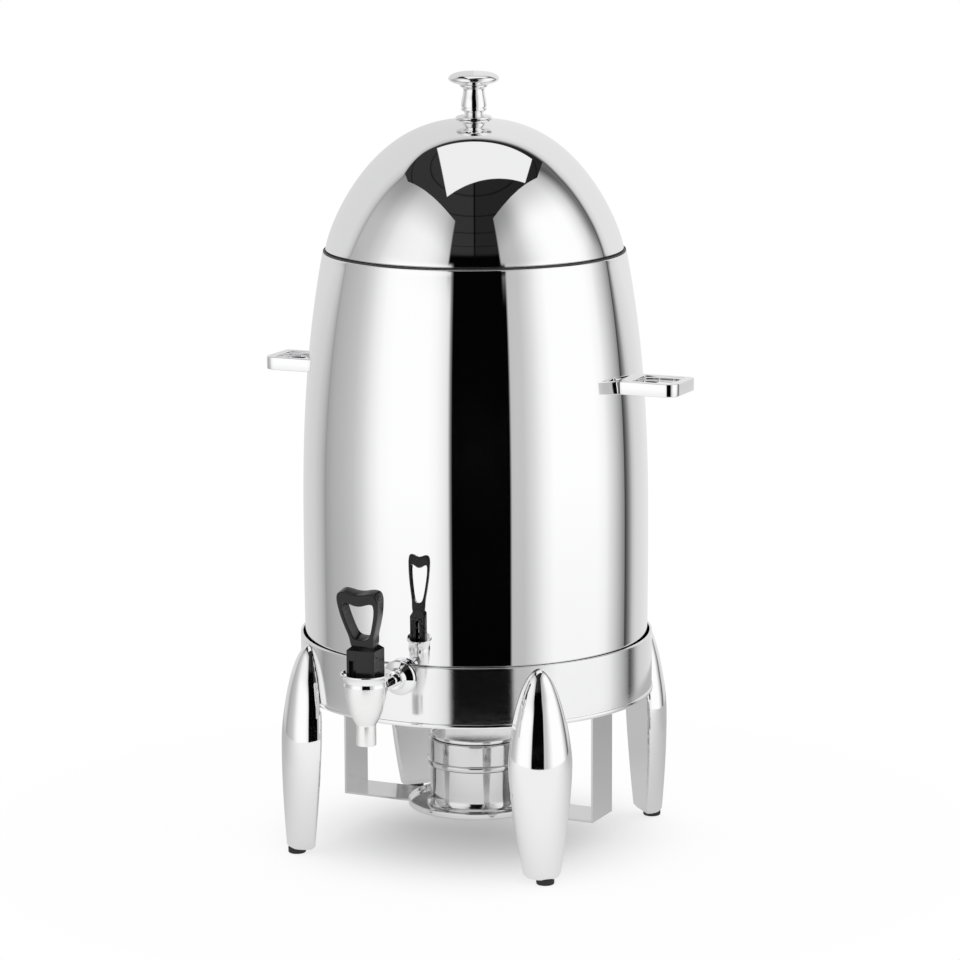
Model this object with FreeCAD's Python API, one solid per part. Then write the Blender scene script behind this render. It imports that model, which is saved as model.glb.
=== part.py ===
"""Coffee urn on four legs: mirror steel body, lift-off domed lid, self-closing tap and fuel holder.

Millimetres, +Z up. The origin is on the urn's axis, level with the surface it stands on.
The tap faces -Y, the side handles point along X and the legs stand on the diagonals.
"""
import FreeCAD, Part
import math
import os

V = FreeCAD.Vector
UP = V(0, 0, 1)
ORIGIN = V(0, 0, 0)

# Running and seating clearances
seat_gap = 0.15           # between curved faces that lie against each other
pin_gap = 0.05            # round a turning pin or a sliding stem
hole_gap = 0.3            # round a fixed tube or screw in its hole

# Base ring
ring_bottom = 119.3       # height of the ring's lower edge above the table
ring_height = 46.7
ring_radius = 136.8
ring_wall = 1.2
hem_depth = 2.6           # rolled lower edge
hem_height = 3.0
hem_proud = 0.5           # the hem stands this far out of the ring's face
lip_depth = 2.0           # top edge turned inwards
shelf_rise = 11.5         # shelf above the ring's lower edge
shelf_width = 37.0
shelf_thickness = 1.2

# Outer body
belly_radius = 133.6      # widest point of the body
belly_rise = 108.0        # widest point above the body's lower end
shoulder_drop = 17.3      # how much the body narrows from belly to rim
shoulder_power = 2.5
foot_drop = 0.9           # how much the body narrows from belly to its lower end
body_height = 330.5
sheet = 1.0               # thickness of the body, lid and liner sheet
rim_turn = 4.5            # width of the body's turned-in top edge

# Pan that closes the body below, and the coffee liner
pan_depth = 7.0           # height of the pan's upturned edge
liner_radius = 106.0
liner_floor_rise = 8.2    # liner's floor above the pan
liner_corner = 7.0
flange_radius = 114.0
seal_thickness = 0.8
seal_width = 4.0

# Lid
lid_radius = 114.2
lid_height = 99.0
lid_power_up = 1.29
lid_power_out = 2.4
rim_clearance = 1.4       # between the lid's locating rim and the liner
rim_depth = 9.0

# Knob on the lid
knob_height = 36.4
knob_disc_radius = 19.4
knob_neck_radius = 7.4
knob_barrel_radius = 9.4
knob_waist_radius = 6.8
knob_foot_radius = 14.0
knob_screw_radius = 2.5
knob_screw_length = 16.0
knob_head_radius = 4.6
knob_head_height = 2.8
knob_washer_radius = 8.0
knob_washer_height = 1.2

# Legs
leg_circle = 137.0        # distance from the urn's axis of the line that the legs' depth is measured from
leg_sink = 3.0            # a leg's blank reaches this far inside that line before it is cut to the ring
leg_top_drop = 2.0        # legs end this far below the ring's top
leg_half_width = 25.2
leg_depth = 20.6
leg_bottom_half_width = 14.0
leg_bottom_depth = 15.0
leg_widest = 92.0         # height of the widest section
leg_lean = 4.2            # the back leans out by this much at the bottom
leg_tip = 2.0             # half width of the rounded tip
leg_sections_low = (0, 0.262, 0.56, 0.798)                            # shares of the height below the widest section
leg_sections_high = (0, 0.25, 0.458, 0.639, 0.778, 0.875, 0.944, 1)   # and above it
foot_height = 4.5
foot_radius = 6.9
foot_stem_radius = 3.0
foot_stem_height = 10.0

# Screws
screw_radius = 2.0
screw_length = 8.0
screw_head_radius = 3.8
screw_head_height = 1.8
leg_screw_spread = 8.0    # half the distance between a leg's two screws
leg_screw_rise = 6.8      # leg screws above the ring's lower edge

# Fuel bracket and tray
bracket_reach = 107.0
bracket_width = 38.0
bracket_sheet = 1.5
bracket_height = 25.2     # underside of the strap above the table
bracket_tab = 16.0
tray_radius = 54.0
tray_rim = 3.4
bracket_screw_spread = 10.0

# Fuel holder
holder_radius = 36.6
holder_wall = 0.9
holder_foot_radius = 39.4
holder_height = 36.4
cover_radius = 37.8
cover_height = 22.0
cover_lap = 5.0           # the cover reaches this far down over the cup
cover_bead = 1.3
cover_hole_radius = 26.0
damper_radius = 37.0      # the damper is a shallow dish
damper_rim = 3.0
damper_corner = 1.5
damper_sheet = 0.9
damper_lift = 0.3
rivet_radius = 1.6
rivet_head_radius = 2.8
rivet_inset = 6.4         # rivet's axis from the damper's edge

# Side handles
handle_height = 362.0     # underside of the bars above the table
handle_tall = 10.0
handle_bar = 6.0
handle_width = 41.6
handle_tip = 173.8        # outermost face from the urn's axis
handle_corner = 3.0       # rounding of each loop's rear corner
handle_front_corner = 10.0
handle_screw_spread = 12.0
handle_root = 12.0        # a handle's blank reaches this far inside the body before it is cut to it

# Tap
tap_reach = 193.3         # tap axis from the urn's axis
nut_clearance = 0.3       # between the lock nut and the liner's rounded corner
shank_radius = 5.0
shank_bore = 3.4
rose_radius = 13.6        # domed rose against the ring
rose_depth = 6.0
rose_edge = 1.2           # straight edge of the rose
rose_sink = 4.0           # the rose's blank reaches this far inside the ring's face before it is cut to it
jam_nut_radius = 7.6
jam_nut_depth = 5.0
sleeve_wall = 2.5
lock_nut_radius = 9.0
lock_nut_depth = 5.0
washer_thickness = 1.5
washer_sink = 1.0         # the washer's flat face from the liner's round wall
shank_end = 2.3           # shank beyond the lock nut
shank_stop = 12.0         # the shank ends this far from the tap's axis
spout_drop = 25.0         # the spout's end below the valve seat
spout_radius = 7.4
spout_bore = 5.2
spout_length = 16.0
funnel_rise = 6.5         # the funnel's edge above the shank's axis
funnel_radius = 15.8
funnel_neck = 14.6
funnel_cavity = 12.8
funnel_shape = ((0, 0), (0.17, 0.3), (0.43, 0.64), (0.72, 0.885), (1, 1))   # shares of its height and of its flare
seat_drop = 13.5          # the valve seat below the shank's axis
seat_radius = 8.0
stub_clearance = 0.1      # inlet stub below the bonnet
inlet_stub_length = 21.0
bonnet_radius = 19.0
bonnet_low_radius = 16.6
bonnet_height = 9.8
bonnet_plate_rise = 2.8
bonnet_plate = 2.2
bonnet_rim = 1.5
bonnet_gap = 0.05         # under the bonnet's lower edge
thread_gap = 0.3          # between the funnel's neck and the bonnet

# Valve inside the tap
stem_radius = 2.0
stem_collar_radius = 5.8
stem_collar = 1.2
seal_cup_radius = 7.2
seal_cup_height = 7.0
spring_wire = 0.9
spring_mean_radius = 4.4

# Tap handle
pin_rise = 12.5           # pin above the handle's lower face
pin_radius = 1.5
block_width = 22.0
block_depth = 20.0
block_height = 26.0
block_bevel = 4.0
block_rest = 0.3          # handle above the bonnet's plate at rest
loop_height = 69.0        # whole handle
loop_half_width = 16.8
loop_thickness = 12.0
loop_bar = 3.9            # side bars of the loop
finger_bar = 9.5
neck_half_width = 8.8
neck_sink = 2.0           # the loop starts this far below the block's top
loop_lean = 12.0          # the loop leans forwards, in degrees
slot_half_width = 2.6
slot_front = 8.4
slot_height = 17.5

# Heights worked out from the sizes above
ring_top = ring_bottom + ring_height
shelf_top = ring_bottom + shelf_rise + shelf_thickness
body_bottom = shelf_top
body_top = body_bottom + body_height
belly_height = body_bottom + belly_rise
liner_floor = body_bottom + liner_floor_rise
flange_bottom = body_top + seal_thickness
flange_top = flange_bottom + sheet
lid_bottom = flange_top
leg_top = ring_top - leg_top_drop
tray_floor = bracket_height + bracket_sheet
holder_top = tray_floor + holder_height
inlet_height = liner_floor + liner_corner + lock_nut_radius + nut_clearance
funnel_top = inlet_height + funnel_rise
seat_height = inlet_height - seat_drop
inlet_stub = funnel_rise - stub_clearance
spout_bottom = seat_height - spout_drop
funnel_bottom = spout_bottom + spout_length
bonnet_top = funnel_top + bonnet_height
plate_bottom = funnel_top + bonnet_plate_rise
plate_top = plate_bottom + bonnet_plate
block_bottom = plate_top + block_rest
pin_height = block_bottom + pin_rise
collar_bottom = seat_height + seal_cup_height
collar_top = collar_bottom + stem_collar

parts = {}


def put(name, shape):
    """Keep one sub-part under its name."""
    parts[name] = shape


def cylinder(radius, height, base=ORIGIN, along=UP):
    return Part.makeCylinder(radius, height, base, along)


def block(low, high):
    return Part.makeBox(high[0] - low[0], high[1] - low[1], high[2] - low[2], V(*low))


def lathe(edges, base=ORIGIN):
    """Turn a closed outline in the XZ plane about the vertical line through base."""
    solid = Part.Face(Part.Wire(edges)).revolve(ORIGIN, UP, 360)
    if solid.Volume < 0:
        solid.reverse()
    solid.translate(base)
    return solid


def lathe_points(points, base=ORIGIN):
    """Turn a closed polygon given as (radius, height) pairs."""
    corners = [V(r, 0, z) for r, z in points]
    return lathe(Part.makePolygon(corners + corners[:1]).Edges, base)


def curve(points):
    """Smooth edge through points in the XZ plane."""
    spline = Part.BSplineCurve()
    spline.interpolate([V(x, 0, z) for x, z in points])
    return spline.toShape()


def arcs(points):
    """Round edges in the XZ plane, each through three points in a row."""
    spots = [V(x, 0, z) for x, z in points]
    return [Part.Arc(*spots[i:i + 3]).toShape() for i in range(0, len(spots) - 2, 2)]


def line(a, b):
    return Part.LineSegment(V(a[0], 0, a[1]), V(b[0], 0, b[1])).toShape()


def thin_wall(outer, thickness):
    """Closed outline of a sheet that lies inside a smooth outer curve of (radius, height) points."""
    inner = []
    for i, (r, z) in enumerate(outer):
        before = outer[max(i - 1, 0)]
        after = outer[min(i + 1, len(outer) - 1)]
        dr = after[0] - before[0]
        dz = after[1] - before[1]
        size = math.hypot(dr, dz)
        inner.append((max(r - thickness * dz / size, 0.0), z + thickness * dr / size))
    return inner


def fuse_all(shapes):
    whole = shapes[0]
    for other in shapes[1:]:
        whole = whole.fuse(other)
    return whole.removeSplitter()


def turned(shape, angle):
    copy = shape.copy()
    copy.rotate(ORIGIN, UP, angle)
    return copy


def body_radius(z):
    """Outer radius of the body at a height."""
    if z >= belly_height:
        share = (z - belly_height) / (body_top - belly_height)
        return belly_radius - shoulder_drop * share ** shoulder_power
    share = (belly_height - z) / belly_rise
    return belly_radius - foot_drop * share ** 2


def body_profile(low, high, stretches=2):
    """Points of the body's outer form for a number of arcs between two heights."""
    steps = 2 * stretches
    heights = [low + (high - low) * i / steps for i in range(steps + 1)]
    return [(body_radius(z), z) for z in heights]


def make_base_ring():
    """Cylindrical ring with a turned-in lip above and a rolled hem below."""
    inner = ring_radius - ring_wall
    ring = lathe_points([
        (inner, ring_bottom), (ring_radius, ring_bottom), (ring_radius, ring_top - lip_depth * 0.4),
        (ring_radius - lip_depth * 0.4, ring_top), (ring_radius - lip_depth, ring_top),
        (ring_radius - lip_depth, ring_top - ring_wall), (inner, ring_top - ring_wall * 1.5)])
    hem = lathe_points([
        (ring_radius - hem_depth, ring_bottom), (ring_radius - 0.4, ring_bottom - 0.3),
        (ring_radius + hem_proud, ring_bottom + 0.4), (ring_radius + hem_proud, ring_bottom + hem_height - 0.6),
        (ring_radius - 0.4, ring_bottom + hem_height), (ring_radius - hem_depth, ring_bottom + hem_height)])
    ring = fuse_all([ring, hem])
    ring = ring.cut(shank_hole())
    for offset, angle in leg_screw_places():
        ring = ring.cut(radial_cylinder(screw_radius + hole_gap, ring_radius - screw_length, ring_radius + screw_length,
                                        offset, angle, leg_screw_height()))
    put("base_ring", ring)


def make_shelf_ring():
    """Flat shelf inside the ring that carries the body and the fuel bracket."""
    outer = ring_radius - ring_wall - seat_gap
    inner = outer - shelf_width
    low = shelf_top - shelf_thickness
    shelf = lathe_points([(inner, low), (outer, low), (outer, shelf_top), (inner, shelf_top)])
    for x, y in bracket_screw_places():
        shelf = shelf.cut(cylinder(screw_radius + hole_gap, 10, V(x, y, shelf_top - 5)))
    put("shelf_ring", shelf)


def shank_hole():
    """Clear hole for the tap's shank through ring, body and liner."""
    return cylinder(shank_radius + hole_gap, ring_radius + 5, V(0, 0, inlet_height), V(0, -1, 0))


def make_outer_shell():
    """Bullet-shaped body, open below and above, with its top edge turned in."""
    outer = body_profile(body_bottom, body_top)
    inner = [(r - sheet, z) for r, z in body_profile(body_bottom, body_top - sheet)]
    edge = outer[-1][0] - rim_turn
    edges = arcs(outer)
    edges += [line(outer[-1], (edge, body_top)), line((edge, body_top), (edge, body_top - sheet)),
              line((edge, body_top - sheet), inner[-1])]
    edges += arcs(inner[::-1])
    edges.append(line(inner[0], outer[0]))
    shell = lathe(edges)
    shell = shell.cut(shank_hole())
    for side in (1, -1):
        for y in (-handle_screw_spread, handle_screw_spread):
            shell = shell.cut(cylinder(screw_radius + hole_gap, 40,
                                       V(side * (belly_radius - 25), y, handle_height + handle_tall / 2),
                                       V(side, 0, 0)))
    put("outer_shell", shell)


def make_pan_bottom():
    """Shallow water pan that closes the body from below."""
    outer = body_radius(body_bottom) - sheet - seat_gap
    corner = 3.0
    pan = lathe_points([
        (0, body_bottom), (outer - corner, body_bottom), (outer, body_bottom + corner),
        (outer, body_bottom + pan_depth), (outer - sheet, body_bottom + pan_depth),
        (outer - sheet, body_bottom + corner), (outer - corner, body_bottom + sheet), (0, body_bottom + sheet)])
    put("pan_bottom", pan)


def make_liner():
    """Straight coffee vessel hung from its top flange."""
    inner = liner_radius - sheet
    liner = lathe_points([
        (0, liner_floor), (liner_radius - liner_corner, liner_floor),
        (liner_radius - liner_corner * 0.3, liner_floor + liner_corner * 0.3),
        (liner_radius, liner_floor + liner_corner), (liner_radius, flange_bottom),
        (flange_radius, flange_bottom), (flange_radius, flange_top), (inner, flange_top),
        (inner, liner_floor + liner_corner), (inner - liner_corner * 0.3, liner_floor + liner_corner * 0.3 + sheet),
        (liner_radius - liner_corner, liner_floor + sheet), (0, liner_floor + sheet)])
    put("coffee_liner", liner.cut(shank_hole()))


def make_liner_seal():
    """Silicone ring between the body's rim and the liner's flange."""
    outer = body_radius(body_top) - 0.3
    put("liner_seal", lathe_points([
        (outer - seal_width, body_top), (outer, body_top), (outer, flange_bottom), (outer - seal_width, flange_bottom)]))


def lid_curve():
    """Outer (radius, height) points of the dome, from its edge up to the flat round its apex."""
    points = []
    steps = 14
    for i in range(steps + 1):
        share = 1.0 - (1.0 - i / (steps + 0.35)) ** 1.6
        radius = lid_radius * (1.0 - share ** lid_power_up) ** (1.0 / lid_power_out)
        points.append((radius, lid_bottom + lid_height * share))
    return points


def make_lid():
    """Domed lid of thin sheet with a level seat for the knob at its apex."""
    outer = lid_curve()
    inner = thin_wall(outer, sheet)
    inner[0] = (outer[0][0] - sheet, lid_bottom)
    top = outer[-1][1]
    inner[-1] = (inner[-1][0], top - sheet)
    inner[-2] = (inner[-2][0], min(inner[-2][1], top - sheet - 0.05))
    edges = [curve(outer), line(outer[-1], (0, top)), line((0, top), (0, top - sheet)),
             line((0, top - sheet), inner[-1]), curve(inner[::-1]), line(inner[0], outer[0])]
    dome = lathe(edges).cut(cylinder(knob_screw_radius + hole_gap, 20, V(0, 0, top - 10)))
    put("lid_dome", dome)
    return top


def make_lid_rim():
    """Locating rim welded inside the lid, which drops into the liner."""
    drop_radius = liner_radius - sheet - rim_clearance
    outer = lid_radius - sheet - seat_gap - 0.6
    put("lid_rim", lathe_points([
        (drop_radius, lid_bottom - rim_depth), (drop_radius, lid_bottom), (outer, lid_bottom),
        (outer, lid_bottom + sheet), (drop_radius - sheet, lid_bottom + sheet),
        (drop_radius - sheet, lid_bottom - rim_depth)]))


def make_knob(seat):
    """Turned mushroom knob with its screw and washer from inside the lid."""
    top = seat + knob_height
    foot = seat
    dome = [(0.0, top), (knob_disc_radius * 0.55, top - 0.6), (knob_disc_radius * 0.9, top - 2.6),
            (knob_disc_radius, top - 5.4), (knob_disc_radius * 0.92, top - 8.0),
            (knob_disc_radius * 0.6, top - 9.8)]
    stem = [(knob_disc_radius * 0.6, top - 9.8), (knob_neck_radius + 0.6, top - 12.2), (knob_neck_radius, top - 14.5),
            (knob_barrel_radius, top - 21.0), (knob_barrel_radius, foot + 9.6)]
    low = [(knob_barrel_radius, foot + 8.6), (knob_waist_radius, foot + 5.4), (knob_foot_radius * 0.8, foot + 3.2),
           (knob_foot_radius, foot + 1.6)]
    groove = (knob_barrel_radius - 0.8, foot + 9.1)
    edges = [curve(dome), curve(stem), line(stem[-1], groove), line(groove, low[0]), curve(low),
             line(low[-1], (knob_foot_radius - 0.6, foot)), line((knob_foot_radius - 0.6, foot), (0, foot)),
             line((0, foot), (0, top))]
    tapped = cylinder(knob_screw_radius + pin_gap, knob_screw_length - sheet, V(0, 0, foot))
    put("lid_knob", lathe(edges).cut(tapped))
    inside = seat - sheet
    washer = cylinder(knob_washer_radius, knob_washer_height, V(0, 0, inside - knob_washer_height))
    put("knob_washer", washer.cut(cylinder(knob_screw_radius + hole_gap, 10, V(0, 0, inside - 5))))
    head_top = inside - knob_washer_height
    screw = cylinder(knob_screw_radius, knob_screw_length, V(0, 0, head_top))
    head = cylinder(knob_head_radius, knob_head_height, V(0, 0, head_top - knob_head_height))
    put("knob_screw", cross_slot(head.fuse(screw), V(0, 0, head_top - knob_head_height), knob_head_radius))


def cross_slot(screw, at, head_radius):
    """Cut a shallow cross into the level face of a screw's head."""
    depth = head_radius * 0.25
    reach = head_radius * 0.55
    width = head_radius * 0.14
    for first, second in ((reach, width), (width, reach)):
        screw = screw.cut(Part.makeBox(2 * first, 2 * second, depth * 2, at + V(-first, -second, -depth)))
    return screw


def leg_section(z):
    """Half width and depth of a leg at a height."""
    if z >= leg_widest:
        share = min((z - leg_widest) / (leg_top - leg_widest), 0.995)
        half = leg_half_width * (1 - share ** 1.42) ** 0.5
        deep = leg_depth * (1 - share ** 1.75) ** 0.55
        return max(half, leg_tip), max(deep, leg_tip * 0.7)
    share = ((leg_widest - z) / (leg_widest - foot_height)) ** 1.6
    half = leg_half_width - (leg_half_width - leg_bottom_half_width) * share
    deep = leg_depth - (leg_depth - leg_bottom_depth) * share
    return half, deep


def leg_back(z):
    """Distance of the leg's flat back from the urn's axis at a height."""
    lean = leg_lean * max(0.0, (ring_bottom - z) / (ring_bottom - foot_height))
    return leg_circle - leg_sink + lean


def leg_loft():
    """One leg that points along +X: half ellipses on a flat back, stacked into a torpedo."""
    heights = [foot_height + (leg_widest - foot_height) * share for share in leg_sections_low]
    heights += [leg_widest + (leg_top - leg_widest) * share for share in leg_sections_high]
    sections = []
    for z in heights:
        half, deep = leg_section(z)
        back = leg_back(z)
        arc = half_ellipse(back, half, deep + leg_sink, z)
        sections.append(Part.Wire([arc, Part.LineSegment(V(back, half, z), V(back, -half, z)).toShape()]))
    return Part.makeLoft(sections, True, False)


def half_ellipse(back, half, deep, z):
    """Half ellipse from (back, -half) out to (back + deep, 0) and back to (back, half), as a spline."""
    spline = Part.BSplineCurve()
    count = 8
    points = []
    for i in range(count + 1):
        angle = math.pi * (i / count - 0.5)
        points.append(V(back + deep * math.cos(angle), half * math.sin(angle), z))
    spline.interpolate(Points=points, InitialTangent=V(1, 0, 0), FinalTangent=V(-1, 0, 0))
    return spline.toShape()


LEGS = (("leg_front_left", 225.0), ("leg_front_right", 315.0), ("leg_rear_left", 135.0), ("leg_rear_right", 45.0))


def foot_centre():
    """Distance of a foot's centre from the urn's axis."""
    return leg_back(foot_height) + leg_sink + leg_bottom_depth * 0.5


def make_legs():
    """Four cast legs with rubber feet pressed into their ends."""
    leg = leg_loft()
    leg = leg.cut(cylinder(ring_radius + hem_proud + seat_gap, ring_height + 2 * hem_height,
                           V(0, 0, ring_bottom - hem_height)))
    for side in (-1, 1):
        leg = leg.cut(radial_cylinder(screw_radius + pin_gap, ring_radius - 5,
                                      ring_radius + screw_length - ring_wall + 0.5,
                                      side * leg_screw_spread, 0.0, leg_screw_height()))
    socket = cylinder(foot_stem_radius + pin_gap, foot_stem_height, V(foot_centre(), 0, foot_height))
    leg = leg.cut(socket)
    foot = lathe_points([
        (0, 0), (foot_radius - 0.8, 0), (foot_radius, 0.8), (foot_radius, foot_height),
        (foot_stem_radius, foot_height), (foot_stem_radius, foot_height + foot_stem_height - 0.5),
        (0, foot_height + foot_stem_height - 0.5)], V(foot_centre(), 0, 0))
    for name, angle in LEGS:
        put(name, turned(leg, angle))
        put(name.replace("leg", "foot"), turned(foot, angle))


def leg_screw_height():
    return ring_bottom + leg_screw_rise


def leg_screw_places():
    """Sideways offset and direction of each leg screw."""
    return [(side * leg_screw_spread, angle) for name, angle in LEGS for side in (-1, 1)]


def radial_cylinder(radius, start, end, offset, angle, z):
    """Cylinder that points outwards at a plan angle, set off sideways from the radius."""
    rod = cylinder(radius, end - start, V(start, offset, z), V(1, 0, 0))
    return turned(rod, angle)


def make_leg_screws():
    """Eight screws from inside the ring into the legs, heads against the ring's wall."""
    screws = []
    inner = ring_radius - ring_wall
    reach = math.sqrt(inner ** 2 - (leg_screw_spread + screw_head_radius) ** 2) - seat_gap
    for offset, angle in leg_screw_places():
        head = radial_cylinder(screw_head_radius, reach - screw_head_height, reach, offset, angle,
                               leg_screw_height())
        shaft = radial_cylinder(screw_radius, reach, reach + screw_length, offset, angle, leg_screw_height())
        screws.append(head.fuse(shaft).removeSplitter())
    put("leg_screws", Part.makeCompound(screws))


def bracket_screw_places():
    tab_middle = bracket_reach + bracket_tab / 2
    return [(side * tab_middle, y) for side in (-1, 1) for y in (-bracket_screw_spread, bracket_screw_spread)]


def make_bracket():
    """U-shaped strap under the urn with outward tabs screwed to the shelf."""
    top = shelf_top - shelf_thickness
    half = bracket_width / 2
    floor = block((-bracket_reach, -half, bracket_height), (bracket_reach, half, tray_floor))
    pieces = [floor]
    for side in (-1, 1):
        outer = side * bracket_reach
        inner = side * (bracket_reach - bracket_sheet)
        pieces.append(block((min(outer, inner), -half, bracket_height), (max(outer, inner), half, top)))
        tab = side * (bracket_reach + bracket_tab)
        pieces.append(block((min(inner, tab), -half, top - bracket_sheet), (max(inner, tab), half, top)))
    strap = fuse_all(pieces)
    for x, y in bracket_screw_places():
        strap = strap.cut(cylinder(screw_radius + hole_gap, 10, V(x, y, top - 5)))
    strap = strap.cut(cylinder(tray_radius + seat_gap, bracket_sheet * 4, V(0, 0, bracket_height - bracket_sheet)))
    put("bracket_strap", strap)
    tray = lathe_points([
        (0, bracket_height), (tray_radius, bracket_height), (tray_radius, tray_floor + tray_rim),
        (tray_radius - 1.2, tray_floor + tray_rim), (tray_radius - 1.2, tray_floor), (0, tray_floor)])
    put("burner_tray", tray)


def make_bracket_screws():
    """Four screws that hold the strap's tabs under the shelf."""
    top = shelf_top - shelf_thickness
    screws = []
    for x, y in bracket_screw_places():
        head = cylinder(screw_head_radius, screw_head_height, V(x, y, top - bracket_sheet - screw_head_height))
        shaft = cylinder(screw_radius, bracket_sheet + shelf_thickness, V(x, y, top - bracket_sheet))
        screws.append(head.fuse(shaft).removeSplitter())
    put("bracket_screws", Part.makeCompound(screws))


def make_fuel_holder():
    """Cup that holds a tin of burner fuel, with a flared foot."""
    inner = holder_radius - holder_wall
    put("fuel_holder", lathe_points([
        (0, tray_floor), (holder_foot_radius, tray_floor), (holder_foot_radius, tray_floor + 1.2),
        (holder_radius + 0.6, tray_floor + 4.0), (holder_radius, tray_floor + 7.0), (holder_radius, holder_top),
        (inner, holder_top), (inner, tray_floor + 7.0), (inner - 1.0, tray_floor + holder_wall),
        (0, tray_floor + holder_wall)]))


def make_cover():
    """Cover that stands on the cup's rim, with a beaded lower edge and a hole for the flame."""
    inner = cover_radius - holder_wall
    low = holder_top - cover_lap
    top = low + cover_height
    step = holder_radius - 2.5
    cover = lathe_points([
        (inner, low), (cover_radius, low), (cover_radius + cover_bead, low + 1.6), (cover_radius + cover_bead, low + 3.6),
        (cover_radius, low + 5.2), (cover_radius, top - 1.2), (cover_radius - 1.2, top), (cover_hole_radius, top),
        (cover_hole_radius, top - holder_wall), (step, top - holder_wall), (step, holder_top), (inner, holder_top)])
    pivot = V(0, damper_pivot_distance(), top - 5)
    put("holder_cover", cover.cut(cylinder(rivet_radius + pin_gap, 10, pivot)))
    return top


def damper_pivot_distance():
    """Distance of the damper's rivet behind the holder's axis."""
    return damper_radius - rivet_inset


def make_damper(plate):
    """Shallow dish that swings about a rivet near its edge, over the cover's hole."""
    low = plate + damper_lift
    pivot = damper_pivot_distance()
    inner = damper_radius - damper_sheet
    damper = lathe_points([
        (0, low), (damper_radius - damper_corner, low), (damper_radius, low + damper_corner),
        (damper_radius, low + damper_rim), (inner, low + damper_rim), (inner, low + damper_corner + 0.3),
        (inner - damper_corner + 0.3, low + damper_sheet), (0, low + damper_sheet)])
    put("damper", damper.cut(cylinder(rivet_radius + pin_gap, 10, V(0, pivot, low - 4))))
    shaft_low = plate - holder_wall - 0.6
    shaft_high = low + damper_sheet + 0.2
    shaft = cylinder(rivet_radius, shaft_high - shaft_low, V(0, pivot, shaft_low))
    head = cylinder(rivet_head_radius, 0.9, V(0, pivot, shaft_high))
    tail = cylinder(rivet_head_radius - 0.6, 0.5, V(0, pivot, shaft_low - 0.5))
    put("damper_rivet", fuse_all([shaft, head, tail]))


def make_side_handle(side, name):
    """Rectangular loop of flat bar that lies level against the body."""
    half = handle_width / 2
    low = handle_height
    high = low + handle_tall
    root = body_radius(low) - handle_root
    frame = block((root, -half, low), (handle_tip, half, high))
    upright = [e for e in frame.Edges if e.BoundBox.ZLength > handle_tall - 0.1 and e.BoundBox.XMin > handle_tip - 1]
    frame = frame.makeFillet(handle_front_corner, [e for e in upright if e.BoundBox.YMax < 0])
    upright = [e for e in frame.Edges if e.BoundBox.ZLength > handle_tall - 0.1 and e.BoundBox.XMin > handle_tip - 1]
    frame = frame.makeFillet(handle_corner, [e for e in upright if e.BoundBox.YMin > 0 and e.BoundBox.YLength < 0.1])
    wide = body_radius(low) + handle_bar
    window = block((wide, -half + handle_bar, low - 1), (handle_tip - handle_bar, half - handle_bar, high + 1))
    frame = frame.cut(window)
    frame = frame.cut(body_solid(low - 5, high + 5))
    for y in (-handle_screw_spread, handle_screw_spread):
        frame = frame.cut(cylinder(screw_radius + pin_gap, body_radius(low) + 4.0,
                                   V(0, y, low + handle_tall / 2), V(1, 0, 0)))
    put(name, frame if side > 0 else frame.mirror(ORIGIN, V(1, 0, 0)))


def body_solid(low, high):
    """Slice of the body's outer form with a seating gap, to shape what lies against it."""
    points = [(r + seat_gap, z) for r, z in body_profile(low, high, 1)]
    return lathe(arcs(points) + [line(points[-1], (0, high)), line((0, high), (0, low)), line((0, low), points[0])])


def make_handle_screws():
    """Two screws for each side handle, driven from inside the body."""
    z = handle_height + handle_tall / 2
    inner = body_radius(z + screw_head_radius) - sheet
    seat = math.sqrt(inner ** 2 - (handle_screw_spread + screw_head_radius) ** 2) - seat_gap
    screws = []
    for side in (-1, 1):
        for y in (-handle_screw_spread, handle_screw_spread):
            head = cylinder(screw_head_radius, screw_head_height, V(side * (seat - screw_head_height), y, z),
                            V(side, 0, 0))
            length = body_radius(handle_height) + 3.0 - seat
            shaft = cylinder(screw_radius, length, V(side * seat, y, z), V(side, 0, 0))
            screws.append(head.fuse(shaft).removeSplitter())
    put("handle_screws", Part.makeCompound(screws))


def along_tap(radius, start, end):
    """Cylinder on the shank's axis between two distances from the urn's axis."""
    return cylinder(radius, end - start, V(0, -start, inlet_height), V(0, -1, 0))


def make_shank():
    """Tube that carries the coffee from the liner to the tap, with its fixings."""
    wall = liner_radius - sheet
    inner_end = wall - washer_thickness - lock_nut_depth - shank_end
    outer_end = tap_reach - shank_stop
    tube = along_tap(shank_radius, inner_end, outer_end).cut(along_tap(shank_bore, inner_end - 1, outer_end + 1))
    put("tap_shank", tube)
    clear = along_tap(shank_radius + pin_gap, inner_end / 2, tap_reach)
    nut_end = wall - washer_thickness - washer_sink
    washer = along_tap(lock_nut_radius, nut_end, wall + sheet).common(round_wall(wall - 2 * seat_gap)).cut(clear)
    put("inner_washer", washer)
    put("lock_nut", hexagon(lock_nut_radius, nut_end - lock_nut_depth, nut_end).cut(clear))
    liner_outer = round_wall(liner_radius + seat_gap)
    shell_inner = round_wall(body_radius(inlet_height - 2 * shank_radius) - sheet - seat_gap)
    sleeve = along_tap(shank_radius + sleeve_wall, liner_radius - sleeve_wall, ring_radius)
    put("shank_sleeve", sleeve.common(shell_inner).cut(liner_outer).cut(clear))
    make_rose(clear)


def round_wall(radius):
    """Upright cylinder past the shank, to shape what lies against a round wall."""
    return cylinder(radius, 2 * ring_height, V(0, 0, inlet_height - ring_height))


def hexagon(radius, start, end):
    """Hexagonal prism on the shank's axis."""
    corners = [V(radius * math.cos(math.radians(60 * i)), -start, inlet_height + radius * math.sin(math.radians(60 * i)))
               for i in range(6)]
    return Part.Face(Part.makePolygon(corners + corners[:1])).extrude(V(0, start - end, 0))


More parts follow.
